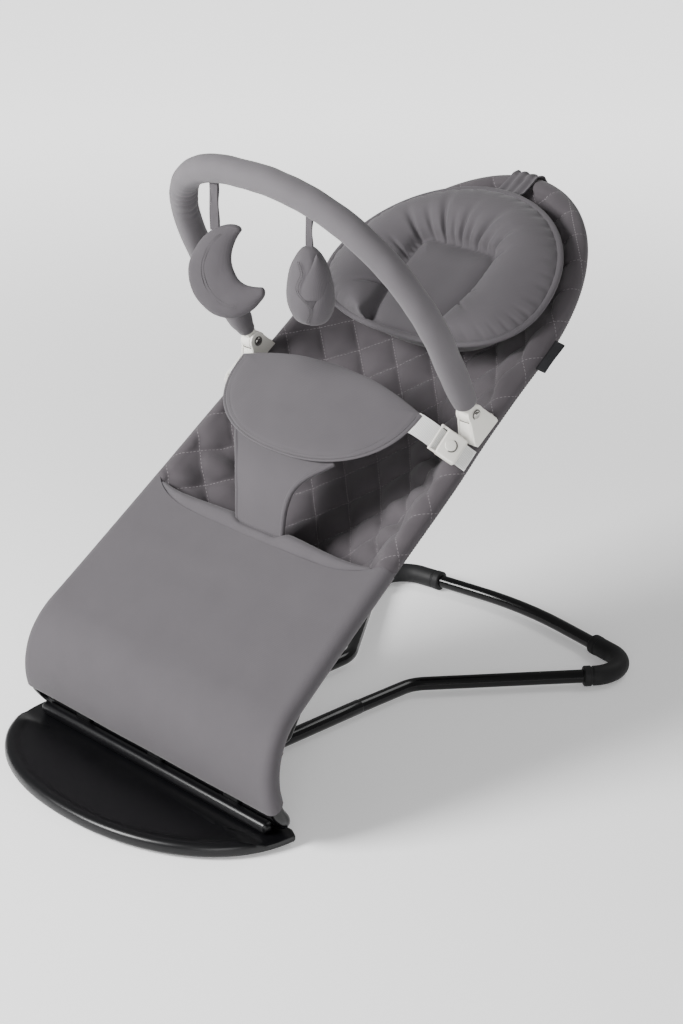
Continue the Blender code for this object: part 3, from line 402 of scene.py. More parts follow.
def evenly(points, step):
    """Points a steady step apart along a path."""
    points = [Vector(point) for point in points]
    found = [points[0]]
    left = step
    for a, b in zip(points, points[1:]):
        length = (b - a).length
        at = left
        while at <= length:
            found.append(a.lerp(b, at / length))
            at += step
        left = at - length
    return found


# %% Paths with round corners, mirrored paths and rows of stitches
def mirrored(points):
    """The same path on the other side of the bouncer, from its far end back."""
    return [Vector((-point.x, point.y, point.z)) for point in reversed(points)]


def filleted(points, radii, step=radians(5)):
    """A path through points whose inner corners are arcs of the given radii."""
    points = [Vector(point) for point in points]
    path = [points[0]]
    for before, corner, after, radius in zip(points, points[1:], points[2:], radii):
        arriving = (corner - before).normalized()
        leaving = (after - corner).normalized()
        turn = arriving.angle(leaving)
        start = corner - arriving * radius * (sin(turn / 2) / cos(turn / 2))
        inward = (leaving - arriving * arriving.dot(leaving)).normalized()
        centre = start + inward * radius
        count = max(2, round(turn / step))
        for k in range(count + 1):
            a = turn * k / count
            path.append(centre - inward * radius * cos(a) + arriving * radius * sin(a))
    path.append(points[-1])
    return path


def stitches(bm, path, pitch=0.0036, length=0.0023, width=0.0007):
    """A row of short threads along a path."""
    marks = evenly(path, pitch)
    for a, b in zip(marks, marks[1:]):
        heading = (b - a).normalized()
        turn = heading.to_track_quat("Z", "X").to_matrix().to_4x4()
        size = Matrix.Diagonal((width, width, length, 1))
        bmesh.ops.create_cube(bm, size=1.0, matrix=Matrix.Translation((a + b) / 2) @ turn @ size)
    return bm


# %% Cloth from a grid, and pillows from a sphere
DOUBLES = 0.00002


def cloth_grid(columns, rows, place):
    """A grid whose corners, 0 to 1 each way, place() turns into a point and its place on flat cloth."""
    bm = bmesh.new()
    bmesh.ops.create_grid(bm, x_segments=columns, y_segments=rows, size=0.5)
    flat = bm.verts.layers.float_vector.new("flat")
    for vert in bm.verts:
        point, flat_place = place(vert.co.x + 0.5, vert.co.y + 0.5)
        vert.co = point
        vert[flat] = Vector(flat_place).to_3d()
    bmesh.ops.remove_doubles(bm, verts=bm.verts[:], dist=DOUBLES)
    return bm


def two_sided(bm, upper, lower, face_to):
    """Gives open cloth a front and a back, each pushed out from it, with a closed rim.

    upper and lower are how far, in metres or as a function of a vertex's place on the flat cloth.
    """
    def height(push, place):
        return push(*place) if callable(push) else push

    bm.normal_update()
    if sum(face.normal.dot(face_to) for face in bm.faces) < 0:
        bmesh.ops.reverse_faces(bm, faces=bm.faces[:])
        bm.normal_update()
    out = bm.verts.layers.float_vector.new("out")
    flat = bm.verts.layers.float_vector["flat"]
    front = bm.verts[:]
    for vert in front:
        vert[out] = vert.normal
    copied = bmesh.ops.duplicate(bm, geom=bm.verts[:] + bm.edges[:] + bm.faces[:])["geom"]
    back = verts_of(copied)
    for vert in front:
        vert.co += vert[out] * height(upper, vert[flat])
    for vert in back:
        vert.co -= vert[out] * height(lower, vert[flat])
    bmesh.ops.reverse_faces(bm, faces=[item for item in copied
                                       if isinstance(item, bmesh.types.BMFace)])
    bmesh.ops.bridge_loops(bm, edges=[edge for edge in bm.edges if edge.is_boundary])
    return bm


def pillow(place, around=128, rings=64):
    """A closed pillow. place(x, y, top) gives the point for a place on a unit disc, above or below."""
    bm = bmesh.new()
    bmesh.ops.create_uvsphere(bm, u_segments=around, v_segments=rings, radius=1.0)
    flat = bm.verts.layers.float_vector.new("flat")
    for vert in bm.verts:
        x, y, z = vert.co
        vert.co = place(x, y, z >= 0)
        vert[flat] = (x, y, 0)
    return bm


# %% [markdown]
# ## The seat's own coordinates
# The hammock leans back at 36.5 degrees. It could be made upright and turned, but pieces of the frame
# have to meet it, so it is shaped in place, in seat coordinates: x across, p up the backrest and n out
# of it towards the child. Below p = 0 the frame turns in an arc down to the plate.

# %% Seat coordinates
RECLINE = radians(36.5)
ALONG = Vector((0, cos(RECLINE), sin(RECLINE)))
OUT = Vector((0, -sin(RECLINE), cos(RECLINE)))
JOINT_P = 0.205
SEAT_START = JOINTS["seat_bounce"] - ALONG * JOINT_P
ARC_R = 0.0827
ARC_END_P = -0.1117
HEAD_P = 0.477
HEAD_A = 0.1670
HEAD_B = 0.2150
TUBE_R = 0.008
HEM_R = 0.0102
HEM_INNER = 0.0088
WIDTHS = ((ARC_END_P, 0.2010), (-0.05, 0.1945), (0.0, 0.1890), (0.10, 0.1835), (0.20, 0.1790),
          (0.30, 0.1752), (0.36, 0.1703), (0.42, 0.1675), (HEAD_P, 0.1670))


def seat_point(x, p, n=0.0):
    if p >= 0:
        return SEAT_START + ALONG * p + OUT * n + Vector((x, 0, 0))
    centre = SEAT_START - OUT * ARC_R
    turn = Matrix.Rotation(-p / ARC_R, 3, "X")
    return centre + turn @ (OUT * (ARC_R + n)) + Vector((x, 0, 0))


def half_width(p):
    """Half the distance between the loop's two tubes, middle to middle."""
    if p >= HEAD_P:
        return HEAD_A * sqrt(max(0.0, 1 - ((p - HEAD_P) / HEAD_B) ** 2))
    return through(WIDTHS, p)


# %% [markdown]
# ## Camera, floor and light
# The camera stands where the photographer's did. The floor is plain and pale, and glows more the further
# off it lies, as a lit paper backdrop does. A big soft key light stands in front on the
# left, so the sides that face right fall into shade, and weak lights fill in from the right and back.
# A light tent would be another way, but it leaves cloth without shade, and this cloth needs some.

# %% Camera
CAMERA_AZIMUTH = radians(46.38)
CAMERA_PITCH = radians(22.39)
CAMERA_DISTANCE = 2.669
CAMERA_TARGET = Vector((-0.078, 0.1176, 0.186))
CAMERA_LENS = 80.05

back = Vector((sin(CAMERA_AZIMUTH) * cos(CAMERA_PITCH), -cos(CAMERA_AZIMUTH) * cos(CAMERA_PITCH),
               sin(CAMERA_PITCH)))
camera = bpy.data.objects.new("camera", bpy.data.cameras.new("camera"))
camera.data.lens = CAMERA_LENS
camera.data.sensor_width = 36.0
camera.location = CAMERA_TARGET + back * CAMERA_DISTANCE
camera.rotation_mode = "QUATERNION"
camera.rotation_quaternion = (-back).to_track_quat("-Z", "Y")
bpy.context.scene.collection.objects.link(camera)
bpy.context.scene.camera = camera
print("camera", round(CAMERA_DISTANCE, 2), "m from", [round(v, 2) for v in CAMERA_TARGET])


# %% Floor and lights
def area_light(name, at, towards, size, power):
    made = bpy.data.objects.new(name, bpy.data.lights.new(name, "AREA"))
    made.data.shape = "RECTANGLE"
    made.data.size, made.data.size_y = size
    made.data.energy = power
    made.location = at
    made.rotation_euler = (Vector(towards) - Vector(at)).to_track_quat("-Z", "Y").to_euler()
    bpy.context.scene.collection.objects.link(made)


FLOOR_SIZE = 400.0
GLOW_FROM = 0.7
GLOW_TO = 3.2
GLOW_NEAR = 0.25
GLOW_FAR = 1.7
WORLD_STRENGTH = 0.27
floor_look, floor_tree, floor_shader = surface("studio_floor", "f4f4f4", 0.9,
                                               Emission_Color=(1, 1, 1, 1))
floor_place = node(floor_tree, "TexCoord").outputs["Object"]
floor_far = node(floor_tree, "VectorMath", {0: floor_place}, operation="LENGTH").outputs["Value"]
floor_glow = node(floor_tree, "MapRange", {0: floor_far, 1: GLOW_FROM, 2: GLOW_TO, 3: GLOW_NEAR,
                                           4: GLOW_FAR}, interpolation_type="SMOOTHSTEP").outputs[0]
floor_tree.links.new(floor_glow, floor_shader.inputs["Emission Strength"])
floor_bm = bmesh.new()
bmesh.ops.create_grid(floor_bm, x_segments=1, y_segments=1, size=FLOOR_SIZE / 2)
floor_mesh = bpy.data.meshes.new("floor")
floor_bm.to_mesh(floor_mesh)
floor_bm.free()
floor_mesh.materials.append(floor_look)
ground = bpy.data.objects.new("floor", floor_mesh)
ground.location.z = -0.0005
bpy.context.scene.collection.objects.link(ground)

area_light("key", (-1.0, -2.4, 1.8), (0, 0, 0.25), (1.2, 1.2), 216)
area_light("fill", (2.0, -1.9, 1.0), (0, 0, 0.35), (1.2, 1.2), 30)
area_light("top_back", (0.4, 1.8, 2.2), (0, 0.1, 0.2), (1.4, 0.8), 14)
world = bpy.data.worlds.new("studio")
world.use_nodes = True
world.node_tree.nodes["Background"].inputs[0].default_value = (1.0, 1.0, 1.0, 1)
world.node_tree.nodes["Background"].inputs[1].default_value = WORLD_STRENGTH
bpy.context.scene.world = world

# %% [markdown]
# ## The hammock
# The real hammock is one quilted piece, sewn to the front panel below and pulled over the tube all
# round. A displacement texture could draw the diamonds, but puffs this deep show in the outline, so they
# are moved vertices. The grid runs along the tube one way and from the spine to the edge the other way,
# and it goes on over the tube in an arc. Puffs are highest in the middle of each diamond and fall to
# nothing at the stitching, and the back of the cloth puffs less than the front.

# %% Shape of the hammock
SAG_POWER = 2.6
HEAD_SAG_LOSS = 1.2
PULL_HEIGHT = 0.0034
PULL_PITCH = 0.047
FINE_PULL_HEIGHT = 0.0017
FINE_PULL_PITCH = 0.029
SAG = ((0.030, 0.0065), (0.05, 0.012), (0.09, 0.036), (0.14, 0.052), (0.22, 0.056), (0.32, 0.052),
       (0.42, 0.044), (HEAD_P, 0.038))
POCKET_P = 0.032
HEM_N = sqrt(HEM_R ** 2 - HEM_INNER ** 2)
WRAP_FROM = radians(149.4)
WRAP_TO = radians(-16)
WRAP_UNDER_PANEL = radians(128)
WRAP_SHARE = 0.13
PANEL_SIDE_P = 0.183


def seat_height(x, p):
    """n of the hammock's middle surface at (x, p)."""
    steepness = SAG_POWER
    if p <= HEAD_P:
        share = abs(x) / (half_width(p) - HEM_INNER)
    else:
        up = (p - HEAD_P) / (HEAD_B - HEM_INNER)
        share = sqrt((x / (HEAD_A - HEM_INNER)) ** 2 + up ** 2)
        steepness -= HEAD_SAG_LOSS * (up / max(share, 0.001)) ** 2 * min(1.0, up / 0.2)
    share = min(1.0, share)
    bend = 0.5 * noise.noise(Vector((x * 9, p * 7, 0.4)))
    pull = PULL_HEIGHT * sin(tau * ((p - 0.03 * share) / PULL_PITCH + bend))
    pull += FINE_PULL_HEIGHT * sin(tau * (p + 0.05 * share) / FINE_PULL_PITCH)
    pull *= ease((share - 0.45) / 0.3) * ease((1.0 - share) / 0.16) * ease((0.42 - p) / 0.1)
    return HEM_N - through(SAG, p) * (1 - share ** steepness) + pull * ease((p - 0.05) / 0.1)


def head_edge(angle, inset):
    """A point in the plan (x, p), inset from the tube's middle at an angle of the head's ellipse."""
    centre = Vector((HEAD_A * cos(angle), HEAD_B * sin(angle)))
    normal = Vector((cos(angle) / HEAD_A, sin(angle) / HEAD_B)).normalized()
    return centre - normal * inset


SIDE_LENGTH = HEAD_P - POCKET_P
HEAD_LENGTH = pi * sqrt((HEAD_A ** 2 + HEAD_B ** 2) / 2)
OUTLINE_LENGTH = 2 * SIDE_LENGTH + HEAD_LENGTH


def outline(share, inset):
    """A plan point along the tube, share 0 at the right lower end and 1 at the left one."""
    at = share * OUTLINE_LENGTH
    if at <= SIDE_LENGTH:
        p = POCKET_P + at
        return Vector((half_width(p) - inset, p))
    if at >= SIDE_LENGTH + HEAD_LENGTH:
        p = POCKET_P + OUTLINE_LENGTH - at
        return Vector((inset - half_width(p), p))
    angle = pi * (at - SIDE_LENGTH) / HEAD_LENGTH
    return head_edge(angle, inset) + Vector((0, HEAD_P))


def across_cloth(x, p, steps=8):
    """Length of the cloth from the spine out to x."""
    total = 0.0
    last = seat_height(0, p)
    for k in range(1, steps + 1):
        here = seat_height(x * k / steps, p)
        total += hypot(x / steps, here - last)
        last = here
    return copysign(total, x)


def hammock_place(along, out):
    """From the tube's outline (along) and the way from the spine to the hem (out)."""
    edge = outline(along, HEM_INNER)
    covered = ease((PANEL_SIDE_P + 0.004 - edge.y) / 0.010)
    if out <= 1 - WRAP_SHARE:
        inward = out / (1 - WRAP_SHARE)
        spine_p = min(edge.y, HEAD_P)
        x = edge.x * inward
        p = spine_p + (edge.y - spine_p) * inward
        full = 1 - covered * ease((inward - 0.72) / 0.2)
        return seat_point(x, p, seat_height(x, p)), (across_cloth(x, p), p, full)
    turn = (out - 1 + WRAP_SHARE) / WRAP_SHARE
    a = WRAP_FROM + (WRAP_TO + (WRAP_UNDER_PANEL - WRAP_TO) * covered - WRAP_FROM) * turn
    full = ease((a - radians(60)) / radians(85)) * (1 - covered)
    plan = outline(along, -HEM_R * cos(a))
    run = HEM_R * (WRAP_FROM - a)
    outward = (plan - outline(along, 0.05)).normalized()
    u = across_cloth(edge.x, edge.y) + run * outward.x
    return seat_point(plan.x, plan.y, HEM_R * sin(a)), (u, edge.y + run * outward.y, full)


def puff(u, v):
    """From 0 on the quilting lines to 1 in the middle of a diamond."""
    a = (u + v) * sqrt(0.5) / DIAMOND
    b = (u - v) * sqrt(0.5) / DIAMOND
    return sqrt(abs(sin(pi * a) * sin(pi * b)))


# %% Make the hammock
HAMMOCK_COLUMNS = 520
HAMMOCK_ROWS = 84
PUFF_HEIGHT = 0.0066
PUFF_UNEVEN = 0.0012
BACK_PUFF = 0.0014


def quilt_front(u, v, full):
    return 0.0006 + (PUFF_HEIGHT + PUFF_UNEVEN * swirl(u, v, 0.3, 0.02)) * puff(u, v) * full


def quilt_back(u, v, full):
    return 0.0008 + BACK_PUFF * puff(u, v) * full


hammock = cloth_grid(HAMMOCK_COLUMNS, HAMMOCK_ROWS, hammock_place)
two_sided(hammock, quilt_front, quilt_back, OUT)
seat_quilt = make("seat_quilt", hammock, QUILT_CLOTH, None, ["seat_cover", "seat_pocket"])
print("hammock along the spine", round(HEAD_P + HEAD_B - POCKET_P, 3), "m")

# %% [markdown]
# ## The hem
# Past its seam the cloth runs on round the tube, plain and unquilted, and is sewn back to itself, so
# the tube lies in a channel. The hammock's own grid could go all the way round, but it would have to
# carry the quilting's fine mesh there. That band is a swept tube of its own, just under the quilting.

# %% Make the hem channel
HEM_STEPS = 260
HEM_OUTER_R = 0.0101
HEM_FROM = (PANEL_SIDE_P - 0.003 - POCKET_P) / OUTLINE_LENGTH
HEM_SHARES = spread(HEM_FROM, 1 - HEM_FROM, HEM_STEPS)
hem = sweep([seat_point(*outline(share, 0.0)) for share in HEM_SHARES], HEM_OUTER_R, 24)
for vert in hem.verts:
    vert.co += OUT * 0.0003 * swirl(*vert.co, 0.02)
seat_hem = make("seat_hem", hem, BINDING_CLOTH, None)

# %% Sew the hem
HEM_ROW_ANGLE = radians(-26)
HEM_ROW_R = HEM_R + 0.0001
hem_row = []
for share in HEM_SHARES:
    plan = outline(share, -HEM_ROW_R * cos(HEM_ROW_ANGLE))
    hem_row.append(seat_point(plan.x, plan.y, HEM_ROW_R * sin(HEM_ROW_ANGLE)))
seam = make("hem_stitching", stitches(bmesh.new(), hem_row), HEM_THREAD, None)

# %% Bake the hammock pieces' transforms into their meshes
for piece in (seat_quilt, seat_hem, seam):
    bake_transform(piece)

# %% [markdown]
# ## The front panel
# A single layer of plain cloth is pulled tight from tube to tube and down over the bend to the plate.
# Its upper edge is where the child's legs come out, and dips in the middle. Its lower edge turns in
# towards the hinge bar. Cloth shows faint pull lines between its fixed edges and sags a little. A
# simulation pinned at the tubes could give that, but it is only a millimetre or two, so the grid's
# points are moved by as much directly.

# %% Make the front panel
CLOTH_HALF_T = 0.0008
PANEL_FLAT_SHARE = 0.80
PANEL_WRAP = radians(285)
PANEL_PULL = 0.0010
PANEL_SAG = 0.0022
PANEL_CORNER_RISE = 0.016
PANEL_LOW_P = -0.1040
PANEL_TOP_P = 0.157
PANEL_TOP_RISE = 0.026
PANEL_N = 0.0102
TUCK_SHARE = 0.07
TUCK = Vector((0, 0.0185, -0.0125))


def panel_top(share):
    return PANEL_TOP_P + PANEL_TOP_RISE * abs(share) ** 6


def panel_place(across, up):
    """The middle four fifths of the grid is the flat panel, and the rest goes round the tubes."""
    s = 2 * across - 1
    share = max(-1.0, min(1.0, s / PANEL_FLAT_SHARE))
    low_p = PANEL_LOW_P + PANEL_CORNER_RISE * ease((abs(s) - 0.82) / 0.16)
    p = low_p + (panel_top(share) - low_p) * max(0.0, (up - TUCK_SHARE) / (1 - TUCK_SHARE))
    w = half_width(p)
    tuck = TUCK * max(0.0, 1 - up / TUCK_SHARE) * ease((PANEL_FLAT_SHARE - abs(s)) / 0.06)
    if abs(s) <= PANEL_FLAT_SHARE:
        x = share * w
        pull = PANEL_PULL * swirl(x * 0.6, p * 2.2, 0.3, 0.07) * (1 - share ** 4)
        sag = PANEL_SAG * (1 - share ** 2) * ease((p + 0.09) / 0.1)
        return seat_point(x, p, PANEL_N + pull - sag) + tuck, (x, p - tuck.length)
    turn = (abs(s) - PANEL_FLAT_SHARE) / (1 - PANEL_FLAT_SHARE)
    a = radians(90) - turn * PANEL_WRAP
    x = copysign(w + PANEL_N * cos(a), s)
    return seat_point(x, p, PANEL_N * sin(a)), (copysign(w + turn * 0.05, s), p)


panel = cloth_grid(110, 100, panel_place)
two_sided(panel, CLOTH_HALF_T, CLOTH_HALF_T, OUT)
panel = make("front_panel_cloth", panel, GREY_CLOTH, "seat_lower", ["front_panel"])

# %% [markdown]
# ## The leg opening's facing
# Behind the panel's upper edge a folded band of plain cloth closes the pocket. It stands a little proud
# in the middle on each side of the crotch strap, and thins out towards the tubes. A swept tube
# would be as thick at its ends, so this is a grid that is folded along a profile and fades out.

# %% Make the facing
FACING_WIDTH = 0.020
FACING_PROFILE = ((0.0, -0.016, 0.0030), (0.22, -0.002, 0.0066), (0.45, 0.35, 0.0120),
                  (0.65, 0.75, 0.0130), (0.82, 1.0, 0.0060), (1.0, 0.96, -0.020))


def facing_place(across, over):
    share = 2 * across - 1
    x = share * (half_width(0.165) - 0.012)
    fullness = 0.15 + 0.85 * (1 - abs(share) ** 2.4) ** 0.7
    p0 = panel_top(share * 0.93)
    if abs(share) < 0.28:
        fullness *= 0.55 + 0.45 * ease((abs(share) - 0.16) / 0.12)
    reach = through([(t, r) for t, r, n in FACING_PROFILE], over)
    n = through([(t, h) for t, r, h in FACING_PROFILE], over)
    p = p0 + (reach * FACING_WIDTH * fullness if reach > 0 else reach)
    if over > 0.3:
        n = 0.006 + (n - 0.006) * (0.35 + 0.65 * fullness)
    n += 0.0012 * swirl(x, over * 0.05, 0.7, 0.03)
    return seat_point(x, p, n), (x, over * 0.05)


facing = cloth_grid(90, 24, facing_place)
two_sided(facing, CLOTH_HALF_T, CLOTH_HALF_T, OUT)
facing = make("leg_facing", facing, INNER_CLOTH, "seat_lower")

# %% [markdown]
# ## The bib
# Two stuffed layers are cut in the shape of a D and sewn over the flared end of a crotch strap. The D
# has two rows of topstitching inside its round edge, and the strap's edges are bound with bias tape. An
# extruded D would have a hard rim, so the pad is a pillow whose two faces meet in a seam.

# %% Shape of the bib
BIB_HALF_W = 0.1420
BIB_MIDDLE_P = 0.338
BIB_DROP = 0.100
BIB_RISE_P = 0.001
BIB_CROWN = 0.020
BIB_POWER = 2.3
BIB_T = 0.0085
BIB_RISE = ((0.145, -0.0180), (0.156, -0.0050), (0.165, 0.0070), (0.190, 0.0362), (0.210, 0.0532),
            (0.235, 0.0615), (0.270, 0.0645), (0.310, 0.0665), (0.360, 0.067))
BIB_TIP_N = 0.0585
BIB_HEART_P = 0.300
BIB_TOP_POWER = 6.0
BIB_ROWS = (0.905, 0.965)
BIB_TOP_SHARE = 1.15
BIB_BACK_SHARE = 0.7


def bib_n(x, p):
    """n of the bib's middle layer at (x, p)."""
    middle = through(BIB_RISE, p)
    return middle - max(0.0, middle - BIB_TIP_N) * (x / 0.141) ** 2


def bib_outline(x, y):
    """The D's plan for a place on the unit disc."""
    r = hypot(x, y)
    if r < 1e-9:
        return 0.0, BIB_HEART_P
    c, s = x / r, y / r
    power = BIB_POWER if y < 0 else BIB_TOP_POWER
    ex = BIB_HALF_W * copysign(abs(c) ** (2 / power), c)
    if y < 0:
        ep = BIB_MIDDLE_P - BIB_DROP * abs(s) ** (2 / power)
    else:
        rise = BIB_RISE_P + BIB_CROWN * (1 - (ex / BIB_HALF_W) ** 2)
        ep = BIB_MIDDLE_P + rise * abs(s) ** (2 / power)
    return ex * r, BIB_HEART_P + (ep - BIB_HEART_P) * r


def bib_place(x, y, top):
    px, p = bib_outline(x, y)
    r = min(1.0, hypot(x, y))
    thick = BIB_T / 2 * (1 - r ** 5) ** 0.5
    n = bib_n(px, p) + (thick * BIB_TOP_SHARE if top else -thick * BIB_BACK_SHARE)
    if top:
        n += 0.0010 * swirl(px, p, 0.2, 0.035) * (1 - r ** 6)
        seam = min(abs(r - row) for row in BIB_ROWS)
        if y < 0.12:
            n -= 0.0009 * exp(-(seam / 0.010) ** 2)
    return seat_point(px, p, n)


def bib_row(reach):
    """A path on the bib's top, along its round lower edge."""
    path = []
    for k in range(121):
        a = radians(-188) + radians(196) * k / 120
        x, y = cos(a) * reach, sin(a) * reach
        px, p = bib_outline(x, y)
        n = bib_n(px, p) + BIB_T / 2 * (1 - reach ** 5) ** 0.5 * BIB_TOP_SHARE - 0.0006
        path.append(seat_point(px, p, n))
    return path


# %% Make the bib's pad
bib_pad = make("bib_pad", pillow(bib_place, 160, 60), GREY_CLOTH, "seat_upper",
               ["restraint_bib"])
bib_thread = bmesh.new()
for reach in BIB_ROWS:
    stitches(bib_thread, bib_row(reach), 0.0032, 0.0021, 0.0007)
make("bib_stitching", bib_thread, THREAD, "seat_upper")

# %% Make the crotch strap
STRAP_WIDTHS = ((0.140, 0.0350), (0.165, 0.0360), (0.190, 0.0385), (0.205, 0.0430), (0.217, 0.0490),
                (0.230, 0.0590), (0.243, 0.0705), (0.2525, 0.0780))
STRAP_LOW_P = 0.142
STRAP_HIGH_P = 0.2525
STRAP_HALF_T = 0.0022
BINDING_R = 0.0033


def strap_n(x, p):
    """n of the crotch strap, which lies just under the bib and sinks towards its edges."""
    edge = (x / through(STRAP_WIDTHS, p)) ** 2
    return bib_n(x, p) - 0.0035 - 0.0010 * ease((p - 0.225) / 0.03) - 0.003 * edge


def strap_place(across, up):
    share = 2 * across - 1
    p = STRAP_LOW_P + (STRAP_HIGH_P - STRAP_LOW_P) * up
    x = share * through(STRAP_WIDTHS, p)
    n = strap_n(x, p) + 0.0006 * swirl(x, p, 0.5, 0.03)
    return seat_point(x, p, n), (x, p)


strap = cloth_grid(44, 60, strap_place)
two_sided(strap, STRAP_HALF_T, STRAP_HALF_T, OUT)
strap = make("crotch_strap", strap, GREY_CLOTH, "seat_upper")
for side in (-1, 1):
    path = []
    for p in spread(STRAP_LOW_P, STRAP_HIGH_P, 60):
        x = side * (through(STRAP_WIDTHS, p) - 0.0008)
        path.append(seat_point(x, p, strap_n(x, p)))
    name = "left" if side < 0 else "right"
    make("strap_binding_" + name, sweep(path, BINDING_R, 16, 0.95), BINDING_CLOTH, "seat_upper")

# %% [markdown]
# ## Side straps and buckles
# Pale ribbed webbing runs from each tip of the bib through the bar of a buckle. The buckle is a flat
# moulded box with a thin bar at one end and a round press button, whose edge shows as a half circle.
# Cutting the parts from one block with booleans would leave its edges sharp, so each is a box with
# rounded edges, made flat in the strap's own axes and then moved into place with them.

# %% Where the side straps lie
WEBBING_W = 0.025
BUCKLE_L = 0.033
BUCKLE_W = 0.031
BUCKLE_T = 0.0085
BUCKLE_FROM = 0.0225
BUTTON_AT = BUCKLE_FROM + 0.0195
BUTTON_R = 0.0064
BAR_ROOM = 0.0085
STRAP_START = (0.1415, 0.3275, 0.0575)
STRAP_END = (0.1865, 0.3320, 0.0095)


def strap_axes(side):
    """The strap's own matrix: x along it from the bib to the hem, y across, z out."""
    start = seat_point(side * STRAP_START[0], *STRAP_START[1:])
    end = seat_point(side * STRAP_END[0], *STRAP_END[1:])
    along = (end - start).normalized()
    across = (ALONG - along * ALONG.dot(along)).normalized()
    out = along.cross(across)
    if out.dot(OUT) < 0:
        out = -out
    axes = Matrix((along, across, out)).transposed().to_4x4()
    return Matrix.Translation(start) @ axes, (end - start).length


# %% Rounded boxes and joined shapes
def soften(bm, edges, radius, segments=3, clamp=False):
    bmesh.ops.bevel(bm, geom=edges, offset=radius, segments=segments, profile=0.5, affect="EDGES",
                    clamp_overlap=clamp, material=-1)


def box_bm(size, centre, bevel, segments=3):
    """A box with rounded edges."""
    bm = bmesh.new()
    bmesh.ops.create_cube(bm, size=1.0)
    bmesh.ops.scale(bm, vec=size, verts=bm.verts[:])
    soften(bm, bm.edges[:], bevel, segments, clamp=True)
    bmesh.ops.translate(bm, vec=centre, verts=bm.verts[:])
    return bm


def add_to(bm, other):
    """Adds one bmesh's shapes to another."""
    mesh = bpy.data.meshes.new("part")
    other.to_mesh(mesh)
    other.free()
    bm.from_mesh(mesh)
    bpy.data.meshes.remove(mesh)
    return bm


# %% Shapes of the webbing, buckle and button
def webbing(low, high, bend):
    """A strip along x, bent up or down along its length by bend(x)."""
    def place(a, b):
        x = low + (high - low) * a
        y = WEBBING_W * (b - 0.5)
        return Vector((x, y, bend(x))), (x, y)
    bm = cloth_grid(40, 14, place)
    return two_sided(bm, CLOTH_HALF_T, CLOTH_HALF_T, Vector((0, 0, 1)))


def buckle_body():
    """A block, a bar in front of it with an arm at each end, and a lip where the webbing leaves."""
    low, high = BUCKLE_FROM, BUCKLE_FROM + BUCKLE_L
    long = BUCKLE_L - BAR_ROOM
    bm = box_bm((long, BUCKLE_W, BUCKLE_T), (low + BAR_ROOM + long / 2, 0, 0.001), 0.0022, 4)
    add_to(bm, box_bm((0.0028, BUCKLE_W, 0.0040), (low + 0.0016, 0, 0.0030), 0.0010))
    for end in (-1, 1):
        add_to(bm, box_bm((0.0120, 0.0022, 0.0045),
                          (low + 0.0058, end * (BUCKLE_W / 2 - 0.0011), 0.0022), 0.0009))
    add_to(bm, box_bm((0.0024, WEBBING_W + 0.001, 0.0030), (high - 0.0006, 0, 0.0008), 0.0008))
    return bm


def groove(middle, radius, depth):
    """The half ring round the button, dark as painted shade: a thin swept arc sunk in the buckle's face.
    """
    path = [middle + Vector((radius * cos(a), radius * sin(a), -depth))
            for a in spread(radians(-88), radians(88), 25)]
    return sweep(path, 0.0007, 8)


def button():
    """A low disc with a sloping side and a softened rim."""
    cap = bmesh.new()
    at = Matrix.Translation((BUTTON_AT - 0.0002, 0, BUCKLE_T / 2 + 0.001 + 0.0002))
    bmesh.ops.create_cone(cap, cap_ends=True, segments=48, radius1=BUTTON_R, radius2=0.0060,
                          depth=0.0012, matrix=at)
    soften(cap, [edge for edge in cap.edges if edge.calc_face_angle(0) > 1.0], 0.0004)
    return cap


# %% Make the side straps
for side, name in ((-1, "left"), (1, "right")):
    axes, length = strap_axes(side)
    near = webbing(-0.006, BUCKLE_FROM + 0.010,
                   lambda x: 0.0012 * sin(pi * x / BUCKLE_FROM) - 0.0030 * ease(-x / 0.006))
    near.transform(axes)
    near = make("bib_webbing_strap_" + name, near, WEBBING, "seat_upper",
                ["bib_webbing_" + name])
    far = webbing(BUCKLE_FROM + BUCKLE_L - 0.004, length + 0.003,
                  lambda x: -0.0014 + 0.0006 * sin(x * 160))
    far.transform(axes)
    far = make("seat_webbing_strap_" + name, far, WEBBING, "seat_upper",
               ["seat_webbing_" + name])
    body = buckle_body()
    body.transform(axes)
    make("buckle_body_" + name, body, PALE_PLASTIC, "seat_upper", ["buckle_" + name])
    ring = groove(Vector((BUTTON_AT, 0, BUCKLE_T / 2 + 0.001)), 0.0068, 0.00005)
    ring.transform(axes)
    make("button_groove_shade_" + name, ring, SHADOW_PLASTIC, "seat_upper")
    cap = button()
    cap.transform(axes)
    make("button_cap_" + name, cap, PALE_PLASTIC, "button_" + name, ["buckle_button_" + name])

# %% [markdown]
# ## The head cushion
# A stuffed horseshoe is sewn round a flatter middle. The cloth is gathered into both seams, so short
# creases run out of them, most of all at the top corners of the middle. Bias binding makes a firm rim.
# A cloth simulation would fill the horseshoe but round the seams away, so the pillow's upper face is
# raised by how far each point lies from both seams, and the creases are cut into that.

# %% Shape of the head cushion
CUSHION_HALF_W = 0.157
CUSHION_MIDDLE_P = 0.518
CUSHION_UP = 0.135
CUSHION_DOWN = 0.078
CUSHION_SEAM_N = 0.0290
RING_HEIGHT = 0.022
PAD_HALF_W = 0.0590
PAD_TOP_P = 0.5730
PAD_CORNER = 0.0170
PAD_PUFF = 0.0085
CREASE_DEPTH = 0.0066
PUCKERS = 43
PUCKER_DIP = 0.0018


def cushion_plan(x, y):
    """The cushion's plan, rounder above its middle than below it."""
    if y >= 0:
        return CUSHION_HALF_W * x, CUSHION_MIDDLE_P + CUSHION_UP * y
    return CUSHION_HALF_W * x, CUSHION_MIDDLE_P + CUSHION_DOWN * y * (1 + 0.22 * x * x)


